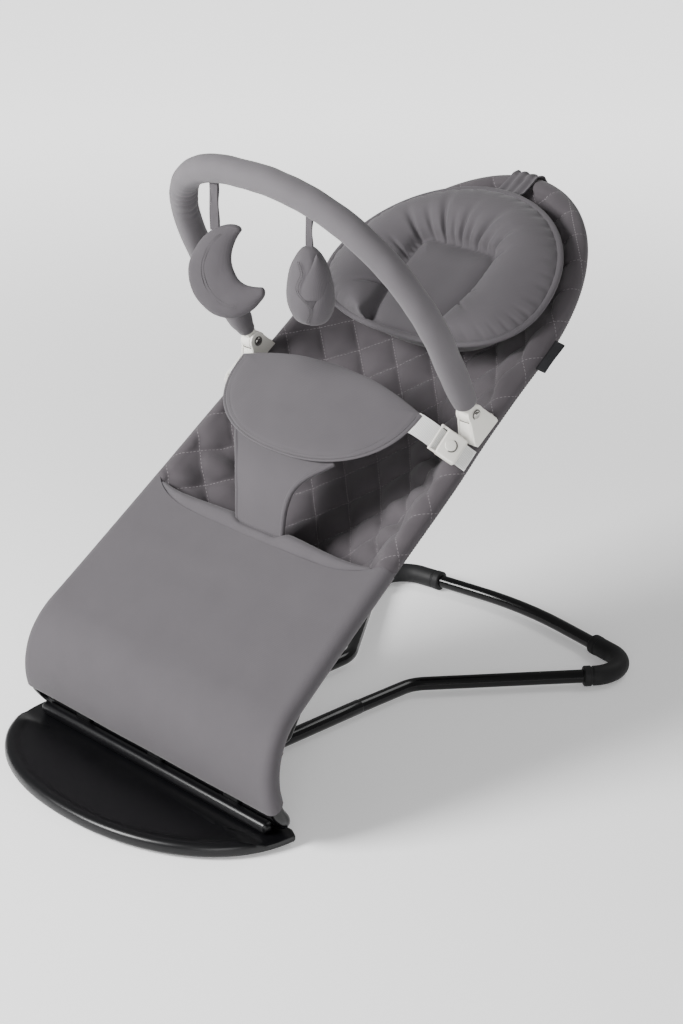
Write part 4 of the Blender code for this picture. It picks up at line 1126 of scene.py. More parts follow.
def pad_distance(x, p):
    """How far (x, p) lies outside the flat middle; negative inside."""
    half = PAD_HALF_W - 0.16 * max(0.0, 0.520 - p)
    dx = abs(x) - (half - PAD_CORNER)
    dp = p - (PAD_TOP_P - PAD_CORNER)
    outside = hypot(max(dx, 0.0), max(dp, 0.0))
    return outside + min(max(dx, dp), 0.0) - PAD_CORNER


CREASES = [(radians(angle), depth, length) for angle, depth, length in (
    (38, 0.8, 0.020), (52, 1.0, 0.030), (62, 0.7, 0.018), (72, 1.2, 0.036), (83, 0.8, 0.022),
    (92, 1.1, 0.032), (101, 0.7, 0.020), (112, 1.3, 0.038), (124, 0.8, 0.024), (137, 1.1, 0.030),
    (158, 0.7, 0.018), (196, 0.7, 0.016), (222, 0.9, 0.022), (322, 0.8, 0.020), (350, 0.6, 0.016))]


def gathers(angle, away):
    """How deep the creases are that run out of the middle's seam."""
    total = 0.0
    for at, depth, length in CREASES:
        off = (angle - at + pi) % tau - pi
        wide = 0.026 + 0.65 * away
        total += depth * exp(-(off / wide) ** 2) * exp(-(away / length) ** 2)
    return total


def rim_gathers(angle, away):
    """Small puckers along the binding."""
    ripple = sin(angle * PUCKERS + 3 * noise.noise(Vector((cos(angle) * 3, sin(angle) * 3, 0.2))))
    return max(0.0, ripple) * exp(-(away / 0.010) ** 2)


def cushion_place(x, y, top):
    """The back rests on the hammock. The front has the flat middle, and round it the horseshoe."""
    px, p = cushion_plan(x, y)
    r = min(1.0, hypot(x, y))
    if not top:
        rest = seat_height(px, min(p, HEAD_P + 0.19)) + 0.0045
        low = rest + (CUSHION_SEAM_N - 0.0015 - rest) * r ** 5
        return seat_point(px, p, max(low, 0.0130 if r > 0.93 else low))
    inner = pad_distance(px, p)
    outer = (1 - r) * 0.125
    angle = atan2(y, x)
    if inner <= 0:
        deep = min(1.0, -inner / 0.028)
        n = CUSHION_SEAM_N - 0.0045 + PAD_PUFF * (1 - (1 - deep) ** 2.4)
        n -= 0.004 * ease((0.47 - p) / 0.03)
        n += 0.0010 * swirl(px, p, 0.9, 0.03)
        edge = min(1.0, outer / 0.012)
        return seat_point(px, p, n * edge + (CUSHION_SEAM_N + 0.001) * (1 - edge))
    share = inner / max(inner + outer, 0.001)
    dome = sin(pi * min(1.0, max(0.0, share))) ** 0.55
    height = RING_HEIGHT * dome * (0.80 + 0.20 * min(1.0, (inner + outer) / 0.06))
    rise = ease(min(inner, outer) / 0.003)
    height -= (CREASE_DEPTH * gathers(angle, inner) + PUCKER_DIP * rim_gathers(angle, outer)) * rise
    height += 0.0018 * swirl(px, p, 0.1, 0.045) * dome
    return seat_point(px, p, CUSHION_SEAM_N - 0.001 - 0.0045 * ease(1 - inner / 0.005) + height)


# %% Make the head cushion
cushion = make("head_cushion_pad", pillow(cushion_place, 340, 110), GREY_CLOTH, "seat_upper",
               ["head_cushion"], smooth=180)
rim = []
for k in range(160):
    a = tau * k / 160
    px, p = cushion_plan(cos(a) * 1.008, sin(a) * 1.008)
    rim.append(seat_point(px, p, CUSHION_SEAM_N + 0.0006))
make("cushion_binding", sweep(rim, 0.0031, 14, 1.25, side=OUT, closed=True), BINDING_CLOTH,
     "seat_upper")

# %% [markdown]
# ## The cushion's band
# A band of the same cloth runs from the cushion over the head end and tucks in behind. It is cut wide
# and gathered, so it lies in soft lengthwise folds. It could be simulated, but a band this short lies
# where its two ends hold it, so a grid follows the path over the tube and waves across it.

# %% Make the band
BAND_W = 0.040
BAND_MIDDLE_X = -0.004
BAND_R = HEM_R + 0.0034
BAND_HALF_T = 0.0007
FOLD_HEIGHT = 0.0011
FOLD_UNEVEN = 0.0013
HEAD_TOP_P = HEAD_P + HEAD_B
BAND_PATH = [(CUSHION_MIDDLE_P + CUSHION_UP + step, n)
             for step, n in ((0.001, 0.0262), (0.008, 0.0205), (0.016, 0.0160), (0.026, 0.0142))]
BAND_PATH += [(HEAD_TOP_P + BAND_R * sin(a), BAND_R * cos(a))
              for a in spread(radians(-12), radians(180), 15)]
BAND_PATH += [(HEAD_TOP_P - 0.022, -BAND_R)]


def band_place(across, along):
    at = along * (len(BAND_PATH) - 1)
    k = min(int(at), len(BAND_PATH) - 2)
    (p0, n0), (p1, n1) = BAND_PATH[k], BAND_PATH[k + 1]
    p, n = p0 + (p1 - p0) * (at - k), n0 + (n1 - n0) * (at - k)
    here = seat_point(0, p, n)
    ahead = seat_point(0, p1, n1) - seat_point(0, p0, n0)
    lift = Vector((1, 0, 0)).cross(ahead).normalized()
    folds = FOLD_HEIGHT * sin(across * 6 * pi + 5 * along)
    folds += FOLD_UNEVEN * swirl(across * 0.04, along * 0.09, 0.4, 0.009)
    x = BAND_MIDDLE_X + (across - 0.5) * BAND_W * (1 - 0.12 * sin(pi * along))
    return here + Vector((x, 0, 0)) + lift * folds, (x, along * 0.1)


band = cloth_grid(56, 110, band_place)
two_sided(band, BAND_HALF_T, BAND_HALF_T, OUT)
band = make("cushion_band", band, GREY_CLOTH, "seat_upper", ["cushion_hanger"])

# %% [markdown]
# ## The label
# A short ribbon is folded in two and caught in the side seam. It is left bare. A flat box would look
# like a chip of plastic, so it is one strip of cloth that goes out and comes back.

# %% Make the label
LABEL_P = 0.485
LABEL_LONG = 0.040
LABEL_OUT = 0.012
LABEL_LEAN = radians(14)
RIBBON_HALF_T = 0.0002


def label_place(across, around):
    p = LABEL_P + (across - 0.5) * LABEL_LONG
    reach = LABEL_OUT * (1 - abs(2 * around - 1))
    lift = 0.0007 * (1 if around > 0.5 else -1) * min(1.0, (LABEL_OUT - reach) / 0.003 + 0.25)
    out = HEM_R + 0.0006 + reach
    bow = 0.0010 * sin(across * 4.0) * reach / LABEL_OUT
    x = half_width(p) + out * cos(LABEL_LEAN)
    n = 0.0032 - out * sin(LABEL_LEAN) + lift + bow
    return seat_point(x, p, n), (p, around * 2 * LABEL_OUT)


label = cloth_grid(24, 24, label_place)
two_sided(label, RIBBON_HALF_T, RIBBON_HALF_T, OUT)
label = make("side_label_ribbon", label, RIBBON, "seat_upper", ["side_label"])

# %% [markdown]
# ## The floor frame
# Two straight tubes run back from the plate, and the bent rear tube, which is slightly thinner, is
# pushed into their ends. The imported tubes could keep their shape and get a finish, but gloss gives
# away every facet, so they are drawn again as smooth sweeps with 40 sides.

# %% Tubes
BASE_Z = 0.012
BASE_HALF_W = 0.0500
SEAM_Y = 0.242
BEND = (0.0520, 0.325)
CORNER = (0.2225, 0.5455)
BOW_MID_Y = 0.5795
CORNER_R = 0.038
BEND_R = 0.045
BOW_R = 0.45
FRONT_TUBE_R = 0.0085
FRONT_TUBE_START = 0.0142
PLATE_BACK_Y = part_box("front_tube_right")[0].y - FRONT_TUBE_START


def floor_point(x, y, z=BASE_Z):
    """A point of the floor frame, y being measured from the back of the foot plate."""
    return Vector((x, PLATE_BACK_Y + y, z))


for side, name in ((-1, "left"), (1, "right")):
    x = side * BASE_HALF_W
    ends = [FRONT_TUBE_START, 0.05, 0.1, 0.15, 0.2, SEAM_Y - 0.0016, SEAM_Y - 0.0004, SEAM_Y]
    radii = [FRONT_TUBE_R] * 6 + [FRONT_TUBE_R - 0.0003, FRONT_TUBE_R - 0.0008]
    make("socket_tube_" + name, sweep([floor_point(x, y) for y in ends], radii, 40), BLACK_ENAMEL,
         "base", ["front_tube_" + name])
right = [floor_point(BASE_HALF_W, SEAM_Y - 0.004), floor_point(*BEND), floor_point(*CORNER),
         floor_point(0, BOW_MID_Y)]
bow = filleted(right + mirrored(right[:-1]), (BEND_R, CORNER_R, BOW_R, CORNER_R, BEND_R), radians(3))
make("bow_tube", sweep(bow, TUBE_R, 40), BLACK_ENAMEL, "base", ["rear_bow_tube"])

# %% [markdown]
# ## The rubber sleeves
# A moulded rubber sleeve is pushed over each rear corner, so that the frame doesn't slide. It has a
# collar at each end, with a groove behind it. The collars could be rings of their own, but on the real
# sleeve they are one moulding, so the sweep's radius changes along the path instead.

# %% Make the sleeves
SLEEVE_R = 0.0118
SLEEVE_FORWARD = 0.077
SLEEVE_INWARD = 0.0965
SLEEVE_LIP = 0.0008
COLLAR_END = 0.009
GROOVE_END = 0.0115


def sleeve_radius(from_end):
    if from_end < SLEEVE_LIP or COLLAR_END <= from_end < GROOVE_END:
        return SLEEVE_R - 0.0009
    return SLEEVE_R + 0.0004 if SLEEVE_LIP < from_end < COLLAR_END else SLEEVE_R


before, corner, after = floor_point(*BEND), floor_point(*CORNER), floor_point(0, BOW_MID_Y)
start = corner + (before - corner).normalized() * SLEEVE_FORWARD
end = corner + (after - corner).normalized() * SLEEVE_INWARD
bent = filleted([start, corner, end], (CORNER_R,), radians(4))
path = [bent[0].lerp(bent[1], t) for t in spread(0, 0.98, 24)] + bent[1:-1]
path += [bent[-2].lerp(bent[-1], t) for t in spread(0.02, 1, 30)]
run = [0.0]
for a, b in zip(path, path[1:]):
    run.append(run[-1] + (b - a).length)
radii = [sleeve_radius(min(at, run[-1] - at)) for at in run]
for side, name in ((-1, "left"), (1, "right")):
    sleeve = sweep([Vector((side * point.x, point.y, point.z)) for point in path], radii, 40)
    make("rubber_sleeve_" + name, sleeve, RUBBER, "base", ["corner_sleeve_" + name])

# %% [markdown]
# ## Seat frame
# One bent tube carries the seat. Most of it is inside cloth, but its lower bar shows above the plate.
# Behind the seat a thinner bent rod, the stay, holds it up. Both are sweeps along a path whose corners
# are arcs, because a bender leaves an arc, and a spline would bulge before each corner.

# %% Seat tube and stay
BAR_CORNER_R = 0.017
STAY_CORNER_R = 0.014
HINGE = JOINTS["seat_recline"]
lower = [seat_point(half_width(p), p) for p in spread(JOINT_P - 0.001, 0.0, 12)]
lower += [seat_point(half_width(p), p) for p in spread(0.0, ARC_END_P, 16)[1:]]
bar = Vector((half_width(ARC_END_P) + 0.001, HINGE.y, HINGE.z))
turn = filleted([lower[-1], bar, Vector((0, HINGE.y, HINGE.z))], (BAR_CORNER_R,), radians(6))
lower += turn[1:-1]
lower += mirrored(lower)
make("hinge_bar_tube", sweep(lower, TUBE_R, 32), BLACK_ENAMEL, "seat_lower",
     ["lower_loop_tube"])

STAY_FOOT = JOINTS["stay_fold"]
STAY_R = 0.005
STAY_TOP_P = 0.150
SADDLE_N = -0.0169
NOTCH_N = SADDLE_N + 0.0012 - 0.0058
STAY_FOOT_X = 0.080
STAY_BEND_X = 0.132
STAY_PIN_X = 0.155
stay_top = seat_point(0, STAY_TOP_P, NOTCH_N)
stay = [Vector((x, at.y, at.z)) for x, at in ((STAY_FOOT_X, STAY_FOOT), (STAY_BEND_X, stay_top),
                                              (STAY_PIN_X, stay_top))]
stay = mirrored(stay) + stay
make("stay_rod", sweep(filleted(stay, (STAY_CORNER_R,) * 4), STAY_R, 28), BLACK_ENAMEL, "stay",
     ["recline_stay"])

# %% [markdown]
# ## The foot plate
# A half moon of black polypropylene with a soft raised rim and a shallow dish. It could be an extruded
# outline with a bevel, but the rim is higher than the dish and falls away to a low ledge at the back.
# So one ring is extruded again and again, and each new ring lies at its own height, at first outwards
# and then in towards the middle. The rib and the two tube sockets are plain boxes with rounded edges.

# %% Make the foot plate
PLATE_HALF_W = 0.2095
PLATE_DEPTH = 0.1455
PLATE_REAR = 0.003
PLATE_ROUNDNESS = 2.15
PLATE_LEVELS = ((0.0055, 0.0020), (0.0030, 0.0022), (0.0010, 0.0036), (0.0, 0.0060), (0.0, 0.0100),
                (0.0006, 0.0128), (0.0022, 0.0149), (0.0050, 0.0162), (0.0080, 0.0165),
                (0.0115, 0.0160), (0.0150, 0.0148), (0.0200, 0.0138), (0.0300, 0.0133),
                (0.0440, 0.0129), (0.0600, 0.0126))
LEDGE_TOP = 0.0105
LEDGE = ((-0.075, 0.0165), (-0.060, 0.0160), (-0.037, LEDGE_TOP), (-0.020, LEDGE_TOP))
PLATE_SIDES = 200
PLATE_ROUND_SHARE = 0.72
PLATE_SOCKET_SIZE = (0.030, 0.0345, 0.0225)


def plate_edge(t, inset):
    """A plan point of the plate's outline, t from 0 to 1 all round, moved in by inset."""
    half_w = PLATE_HALF_W - inset
    depth = PLATE_DEPTH - inset
    rear = PLATE_REAR - inset * 0.8
    if t < PLATE_ROUND_SHARE:
        a = pi * t / PLATE_ROUND_SHARE
        x = half_w * copysign(abs(cos(a)) ** (2 / PLATE_ROUNDNESS), cos(a))
        y = -depth * sin(a) ** (2 / PLATE_ROUNDNESS)
        return x, min(y, rear - 0.006)
    a = (t - PLATE_ROUND_SHARE) / (1 - PLATE_ROUND_SHARE)
    x = -(half_w - 0.004) + 2 * (half_w - 0.004) * a
    return x, rear


def plate():
    bm = bmesh.new()
    bmesh.ops.create_circle(bm, cap_ends=False, radius=1.0, segments=PLATE_SIDES)
    ring = bm.verts[:]
    edges = first = bm.edges[:]
    for level, (inset, z) in enumerate(PLATE_LEVELS):
        if level:
            edges, fresh = next_ring(bm, edges)
            order = {vert: k for k, vert in enumerate(ring)}
            ring = sorted(fresh, key=lambda vert: min(order.get(edge.other_vert(vert), PLATE_SIDES)
                                                      for edge in vert.link_edges))
        for k, vert in enumerate(ring):
            x, y = plate_edge(k / PLATE_SIDES, inset)
            vert.co = floor_point(x, y, min(z, through(LEDGE, y)))
    bmesh.ops.edgeloop_fill(bm, edges=first)
    bmesh.ops.edgeloop_fill(bm, edges=edges)
    return bm


make("plate_shell", plate(), BLACK_MOULDED, "base", ["foot_plate"], smooth=50)
for side, name in ((-1, "left"), (1, "right")):
    socket = box_bm(PLATE_SOCKET_SIZE, floor_point(side * BASE_HALF_W, 0.0287, 0.0135), 0.0040, 4)
    make("plate_socket_" + name, socket, BLACK_MOULDED, "base")

# %% Rib in front of the hinge bar
RIB_SIZE = (0.380, 0.0136, 0.0134)
RIB_AT = floor_point(0, -0.0210, 0.0168)
rib = box_bm(RIB_SIZE, RIB_AT, 0.0055, 5)
make("hinge_rib", rib, BLACK_MOULDED, "base", ["hinge_cover"])

# %% [markdown]
# ## Toy arch
# A sleeve of stuffed cloth over a springy rod. The cloth bunches on the inside of the tight far bend,
# where a seam crosses it, and is drawn in at both ends. A curve with a bevel would give a plain tube, so
# the sleeve is a sweep with its own radius at each step, and its vertices then move in and out for the
# folds.

# %% Path of the arch
ARCH_X = 0.1715
ARCH_TILT = radians(120.5)
ARCH_R = 0.0150
ARCH_TOP_S = 0.2865
ARCH_STRAIGHT_S = 0.10
ARCH_HALF_W = 0.1768
ARCH_TOP_X = -0.012
ARCH_POWERS = {1: 2.25, -1: 2.6}
CUFF_S = 0.0122
ARCH_STEP = 0.0022
ARCH_SIDES = 48
ARCH_UP = Vector((0, cos(ARCH_TILT), sin(ARCH_TILT)))
ARCH_AXIS = JOINTS["arch_fold"]


def arch_point(x, s):
    return ARCH_AXIS + Vector((x, 0, 0)) + ARCH_UP * s


def arch_side(side, turn):
    power = ARCH_POWERS[side]
    reach = ARCH_HALF_W - side * ARCH_TOP_X
    c = max(0.0, cos(turn)) ** (2 / power)
    d = max(0.0, sin(turn)) ** (2 / power)
    return ARCH_TOP_X + side * reach * c, ARCH_STRAIGHT_S + (ARCH_TOP_S - ARCH_STRAIGHT_S) * d


def arch_leg(side, count):
    return [(side * (ARCH_X + (ARCH_HALF_W - ARCH_X) * s / ARCH_STRAIGHT_S), s)
            for s in spread(CUFF_S, ARCH_STRAIGHT_S, count)]


turns = spread(0, pi / 2, 120)
arch_plan = arch_leg(1, 40)[:-1] + [arch_side(1, a) for a in turns][:-1]
arch_plan += [arch_side(-1, a) for a in reversed(turns)] + list(reversed(arch_leg(-1, 40)))[1:]
arch_path = evenly([arch_point(x, s) for x, s in arch_plan], ARCH_STEP)
arch_long = ARCH_STEP * (len(arch_path) - 1)
print("arch sleeve", round(arch_long, 3), "m long")

# %% Make the arch sleeve
CUFF_NEAR = ((0, 0.0098), (0.0022, 0.0120), (0.005, 0.0130), (0.020, 0.0143), (0.045, ARCH_R))
CUFF_FAR = ((0, 0.0086), (0.0022, 0.0100), (0.007, 0.0108), (0.018, 0.0136), (0.045, ARCH_R))
BEND_AT = arch_point(-0.148, 0.230)
BEND_REACH = 0.027
FOLD_PITCH = 0.0115
FOLD_DEPTH = 0.0042
SEAM_AT = arch_point(-0.1760, 0.200)
SEAM_REACH = 0.0022
SEAM_DEPTH = 0.0020
ARCH_INSIDE = arch_point(-0.02, 0.14)
arch_radii = []
for k in range(len(arch_path)):
    at = k * ARCH_STEP
    ends = CUFF_NEAR if at < arch_long / 2 else CUFF_FAR
    arch_radii.append(through(ends, min(at, arch_long - at)))
arch_sleeve = sweep(arch_path, arch_radii, ARCH_SIDES, side=Vector((1, 0, 0)))
for index, vert in enumerate(arch_sleeve.verts):
    k = min(index // ARCH_SIDES, len(arch_path) - 1)
    near = arch_path[k]
    away = (vert.co - near).normalized()
    at = k * ARCH_STEP
    inward = max(0.0, away.dot((ARCH_INSIDE - near).normalized()))
    bend = exp(-((near - BEND_AT).length / BEND_REACH) ** 2)
    folds = abs(sin(pi * at / FOLD_PITCH + 1.6 * swirl(*near, 0.02)))
    rough = FOLD_DEPTH * bend * (0.05 + 0.95 * inward) * (folds ** 0.8 - 0.6)
    rough += 0.0007 * swirl(*vert.co, 0.022)
    rough -= SEAM_DEPTH * exp(-((near - SEAM_AT).length / SEAM_REACH) ** 2)
    vert.co += away * rough
arch_sleeve = make("arch_sleeve", arch_sleeve, ARCH_CLOTH, "toy_arch",
                   ["arch_cover", "arch_core"], smooth=180)

# %% [markdown]
# ## Brackets and rivets
# Each bracket is a moulded clevis that snaps on the tube under the cloth: two cheeks on one foot. A
# domed steel rivet goes through the cheeks and the arch's plastic tongue. Primitives alone would give no
# such outline, so each cheek's outline is extruded and its edges are softened, as a mould leaves them.


# %% Make the brackets
def slab(outline_points, low, high, place, bevel=0.0007):
    """An outline extruded from low to high, with softened edges."""
    bm = bmesh.new()
    face = bm.faces.new([bm.verts.new(place(a, b, low)) for a, b in outline_points])
    made = bmesh.ops.extrude_face_region(bm, geom=[face])["geom"]
    for vert, (a, b) in zip(verts_of(made), outline_points):
        vert.co = place(a, b, high)
    bmesh.ops.recalc_face_normals(bm, faces=bm.faces[:])
    rims = [edge for edge in bm.edges if edge.calc_face_angle(0) > radians(50)]
    soften(bm, rims, bevel, clamp=True)
    return bm


def round_part(radius, degrees):
    return [(radius * cos(radians(d)), radius * sin(radians(d))) for d in degrees]


def drum(radius_low, radius_high, depth, turn, segments):
    """A short cylinder or cone across the bouncer."""
    bm = bmesh.new()
    bmesh.ops.create_cone(bm, cap_ends=True, segments=segments, radius1=radius_low,
                          radius2=radius_high, depth=depth, matrix=Matrix.Rotation(turn, 4, "Y"))
    return bm


def placed(bm, at):
    bmesh.ops.translate(bm, vec=at, verts=bm.verts[:])
    return bm


BRACKET_BASE = [(-0.0225, -0.0262), (0.0150, -0.0262)]
CHEEK = BRACKET_BASE + [(0.0160, -0.0225)] + round_part(0.0108, range(-6, 190, 7))
CHEEK += [(-0.0235, -0.0225)]
BRACKET_FOOT = BRACKET_BASE + [(0.0152, -0.0150)] + round_part(0.0118, range(-40, -161, -10))
BRACKET_FOOT += [(-0.0114, -0.0031), (-0.0230, -0.0222)]
CHEEK_SLOPE = 0.22
KNUCKLE_R = 0.0110
GAP_R = 0.0054

for side, name in ((-1, "left"), (1, "right")):
    axis = arch_point(side * ARCH_X, 0)

    def place(a, b, c):
        reach = c if c < 0 else c - b * CHEEK_SLOPE
        return axis + ALONG * a + OUT * b + Vector((side * reach, 0, 0))

    bracket = slab(CHEEK, 0.0066, 0.0104, place)
    add_to(bracket, slab(CHEEK, -0.0098, -0.0066, place))
    add_to(bracket, slab(BRACKET_FOOT, -0.0090, 0.0096, place, 0.0004))
    make("bracket_shell_" + name, bracket, PALE_PLASTIC, "seat_upper",
         ["arch_bracket_" + name])
    rivet = bmesh.new()
    for end in (-1, 1):
        start = 0.0107 if end * side > 0 else 0.0100
        dome = bmesh.new()
        bmesh.ops.create_uvsphere(dome, u_segments=32, v_segments=16, radius=0.0041,
                                  matrix=Matrix.Diagonal((0.45, 1, 1, 1)))
        add_to(rivet, placed(dome, axis + Vector((end * start, 0, 0))))
        washer = drum(0.0050, 0.0047, 0.0006, end * pi / 2, 32)
        add_to(rivet, placed(washer, axis + Vector((end * (start - 0.0001), 0, 0))))
    make("rivet_" + name, rivet, STEEL, "seat_upper", ["arch_rivet_" + name])
    knuckle = drum(KNUCKLE_R, KNUCKLE_R, 0.0124, pi / 2, 48)
    soften(knuckle, [edge for edge in knuckle.edges if edge.calc_face_angle(0) > 1.0], 0.0008)
    stem = box_bm((0.0112, 0.0130, 0.0170), (0, 0, 0.0085), 0.0010)
    stem.transform(Matrix.Rotation(ARCH_TILT - pi / 2, 4, "X"))
    add_to(knuckle, stem)
    make("arch_knuckle_" + name, placed(knuckle, axis), PALE_PLASTIC, "toy_arch",
         ["arch_tongue_" + name])
    # A thin dark ring round each rivet head: painted shade where the rivet sits in the cheek.
    gap = bmesh.new()
    for end in (-1, 1):
        start = 0.0105 if end * side > 0 else 0.0099
        ring = [axis + Vector((end * start, GAP_R * cos(a), GAP_R * sin(a)))
                for a in spread(0, tau, 41)[:-1]]
        sweep(ring, 0.0004, 8, closed=True, bm=gap)
    make("rivet_shade_ring_" + name, gap, SHADOW_PLASTIC, "seat_upper")

# %% [markdown]
# ## Hanging toys
# Each toy hangs from a loop of narrow tape. The moon is two layers sewn all round with a double row of
# topstitching inside its outer edge. The egg has a wavy seam and two folded petals. A stuffed crescent
# could be a subdivided block, but its section changes all the way, so a circle is carried from tip to
# tip and squashed to fit between the two edges. The egg is a sphere whose rings are given new radii.

# %% Shape of the moon
MOON_SIDES = 40
MOON_DOUBLES = 0.0001
MOON_UNEVEN = 0.0009
MOON_AT = JOINTS["moon_swing"]
MOON_STRAP = 0.0410
MOON_THICK = 0.0165
MOON_YAW = radians(25)
MOON_OUTER = ((24.5, 5.0), (13, 4.0), (-1, -2), (-13, -12), (-23, -27), (-30, -46), (-29, -65),
              (-20, -83), (-3, -96), (19, -98), (38, -88), (49, -76), (54.5, -67.5))
MOON_INNER = ((30.5, 0.5), (26.5, -5), (23, -11), (20.5, -17), (18.5, -24), (17.5, -31.5), (18, -39),
              (20.5, -47), (25, -54.5), (31.5, -59), (39, -60.5), (46, -60.5), (52.5, -60.0))
MOON_ACROSS = Vector((cos(MOON_YAW), sin(MOON_YAW), 0))
MOON_FACE = Vector((-sin(MOON_YAW), cos(MOON_YAW), 0))
MOON_FOOT = MOON_AT - Vector((0, 0, MOON_STRAP + 0.0035))
MOON_STRETCH = 1.05


def moon_edge(edge, t):
    at = t * (len(edge) - 1)
    x = through([(k, a) for k, (a, b) in enumerate(edge)], at)
    z = through([(k, b) for k, (a, b) in enumerate(edge)], at)
    return MOON_FOOT + (MOON_ACROSS * x * MOON_STRETCH + Vector((0, 0, z))) / 1000


def moon_section(t):
    outer, inner = moon_edge(MOON_OUTER, t), moon_edge(MOON_INNER, t)
    tip = min(1.0, min(t, 1 - t) / 0.035)
    rounded = max(0.06, sqrt(1 - (1 - tip) ** 2))
    reach = (outer - inner) / 2
    thick = MOON_THICK / 2 * min(1.0, reach.length / 0.022) ** 0.5
    return (outer + inner) / 2, reach * rounded, thick * rounded


def moon_bm(count):
    places = []
    for t in spread(0.0, 1.0, count):
        middle, reach, thick = moon_section(t)
        heading = reach.cross(MOON_FACE).normalized()
        axes = Matrix((reach, MOON_FACE * thick, heading)).transposed().to_4x4()
        places.append(Matrix.Translation(middle) @ axes)
    bm = skin(bmesh.new(), places, MOON_SIDES)
    bmesh.ops.remove_doubles(bm, verts=bm.verts[:], dist=MOON_DOUBLES)
    for vert in bm.verts:
        vert.co += MOON_FACE * MOON_UNEVEN * swirl(*vert.co, 0.018)
    return bm


# %% Make the moon
MOON_ROWS = (0.14, 0.27)


def moon_row(across):
    """A stitched row on the front, across being -1 at the inner edge and 1 at the outer one."""
    path = []
    for t in spread(0.16, 0.76, 60):
        middle, reach, thick = moon_section(t)
        bulge = sqrt(1 - across ** 2) * thick
        path.append(middle + reach * across - MOON_FACE * (bulge + 0.0002))
    return path


moon = make("moon_plush", moon_bm(110), MOON_CLOTH, "moon", ["moon_toy"], smooth=180)
moon_thread = bmesh.new()
for across in MOON_ROWS:
    stitches(moon_thread, moon_row(across), 0.0027, 0.0018, 0.0006)
make("moon_stitching", moon_thread, THREAD, "moon")

# %% Make the egg
EGG_AT = JOINTS["egg_swing"]
EGG_STRAP = 0.0300
EGG_R = 0.0270
EGG_H = 0.082
EGG_TAPER = 0.30
EGG_FULL = 1.12
EGG_DEPTH_SHARE = 0.86
EGG_MIDDLE = EGG_AT - Vector((0, 0, EGG_STRAP + 0.0004 + EGG_H / 2 - 0.002))


def egg_radius(z):
    """The egg's radius at a height from -1 to 1, narrower at the top."""
    down = (1 - z) / 2
    return EGG_R * sqrt(max(0.0, 1 - z * z)) ** 0.9 * (1 - EGG_TAPER * (1 - down)) * EGG_FULL


def egg_point(angle, z, lift=0.0):
    radius = egg_radius(z) + lift
    return EGG_MIDDLE + Vector((radius * cos(angle), EGG_DEPTH_SHARE * radius * sin(angle),
                                (EGG_H / 2 + lift) * z))


egg = bmesh.new()
bmesh.ops.create_uvsphere(egg, u_segments=64, v_segments=40, radius=1.0)
for vert in egg.verts:
    angle = atan2(vert.co.y, vert.co.x)
    z = max(-1.0, min(1.0, vert.co.z))
    vert.co = egg_point(angle, z, 0.0007 * swirl(*vert.co, 0.4))
egg = make("egg_plush", egg, GREY_CLOTH, "egg", ["egg_toy"], smooth=180)

# %% Petals, wavy seam and toy tapes
VIEW_SIDE = -pi / 2 + radians(46)
PETAL_HALF = 0.84


def petal(tip_angle, tip_z, low_z):
    """A pointed patch that lies just over the egg."""
    def place(a, b):
        share = 2 * a - 1
        z = tip_z + (low_z - tip_z) * b
        width = PETAL_HALF * (b ** 0.62) * (1 + 0.25 * sin(pi * b))
        lift = 0.0014 + 0.0014 * (1 - abs(share) ** 3) * (1 - b) ** 0.3
        return egg_point(tip_angle + share * width, z, lift), (share * 0.02, z * 0.04)
    bm = cloth_grid(24, 24, place)
    return two_sided(bm, 0.0005, 0.0009, Vector((0.7, -0.7, 0)))


for name, turn, tip_z, low_z in (("upper", 0.45, 0.82, -0.20), ("lower", 0.80, 0.22, -0.90)):
    leaf = make("egg_petal_" + name, petal(VIEW_SIDE + turn, tip_z, low_z), GREY_CLOTH, "egg")
egg_thread = bmesh.new()
for shift in (0.0, 0.10):
    wave = [egg_point(VIEW_SIDE - 0.78 + shift + 0.75 * t + 0.17 * sin(t * 11.0), 0.66 - 1.50 * t,
                      0.0024) for t in spread(0, 1, 70)]
    stitches(egg_thread, wave, 0.0026, 0.0018, 0.0006)
make("egg_stitching", egg_thread, THREAD, "egg")


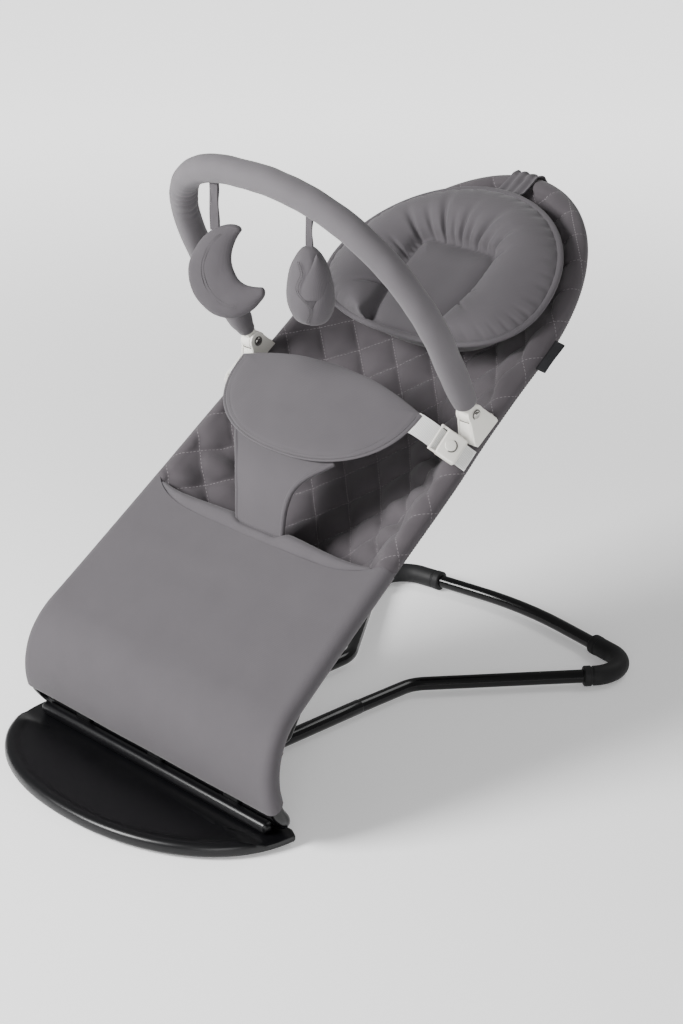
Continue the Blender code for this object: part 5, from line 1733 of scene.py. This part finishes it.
def tape(name, top, length, width, body, replaced, twist):
    """A narrow tape that goes up one side and down the other, with a turn in its back strand."""
    def place(a, b):
        front = b < 0.5
        down = 2 * b if front else 2 - 2 * b
        bow = (-1 if front else 1) * (0.0014 + 0.0008 * sin(pi * down))
        yaw = radians(20) + (0.12 * sin(6 * down) if front else twist * sin(pi * down))
        x = (a - 0.5) * width
        across = Vector((cos(yaw), sin(yaw), 0)) * x
        return top + across + TAPE_FRONT * -bow + Vector((0, 0, -length * (1 - down))), (x, b)
    bm = cloth_grid(8, 60, place)
    two_sided(bm, 0.0004, 0.0004, Vector((0, -1, 0)))
    return make(name, bm, BINDING_CLOTH, body, [replaced])


TAPE_FRONT = Vector((sin(radians(30)), -cos(radians(30)), 0))
TAPE_RISE = Vector((0, 0, 0.0040))
MOON_TAPE_W = 0.0100
MOON_TAPE_L = MOON_STRAP + 0.0105
moon_tape = tape("moon_tape", MOON_AT + TAPE_RISE, MOON_TAPE_L, MOON_TAPE_W, "moon", "moon_strap",
                 radians(75))
tape("egg_tape", EGG_AT + TAPE_RISE, EGG_STRAP + 0.0080, 0.0072, "egg", "egg_strap", radians(85))

# %% [markdown]
# ## Carried-over parts
# Clamps, stay brackets, saddles, pads, screws and connectors keep their own shapes, and so does the upper
# half of the loop, which is inside the hem. They hardly show, so new meshes would gain nothing, and they
# get their real finishes in their material slots.

# %% Finishes for the parts that stay
FINISHES = {BLACK_FITTING: ("stay_bracket_left", "stay_bracket_right", "stay_saddle_left",
                            "stay_saddle_right", "hinge_clamp_left", "hinge_clamp_middle",
                            "hinge_clamp_right"),
            RUBBER: ("plate_pad_front", "plate_pad_left", "plate_pad_right"),
            STEEL: ("tube_screw_left", "tube_screw_right", "flex_rod_left", "flex_rod_right"),
            BLACK_ENAMEL: ("upper_loop_tube",)}
for look, names in FINISHES.items():
    for name in names:
        frame["nodes"][name].data.materials.clear()
        frame["nodes"][name].data.materials.append(look)
print("carried over", sum(len(names) for names in FINISHES.values()), "parts")
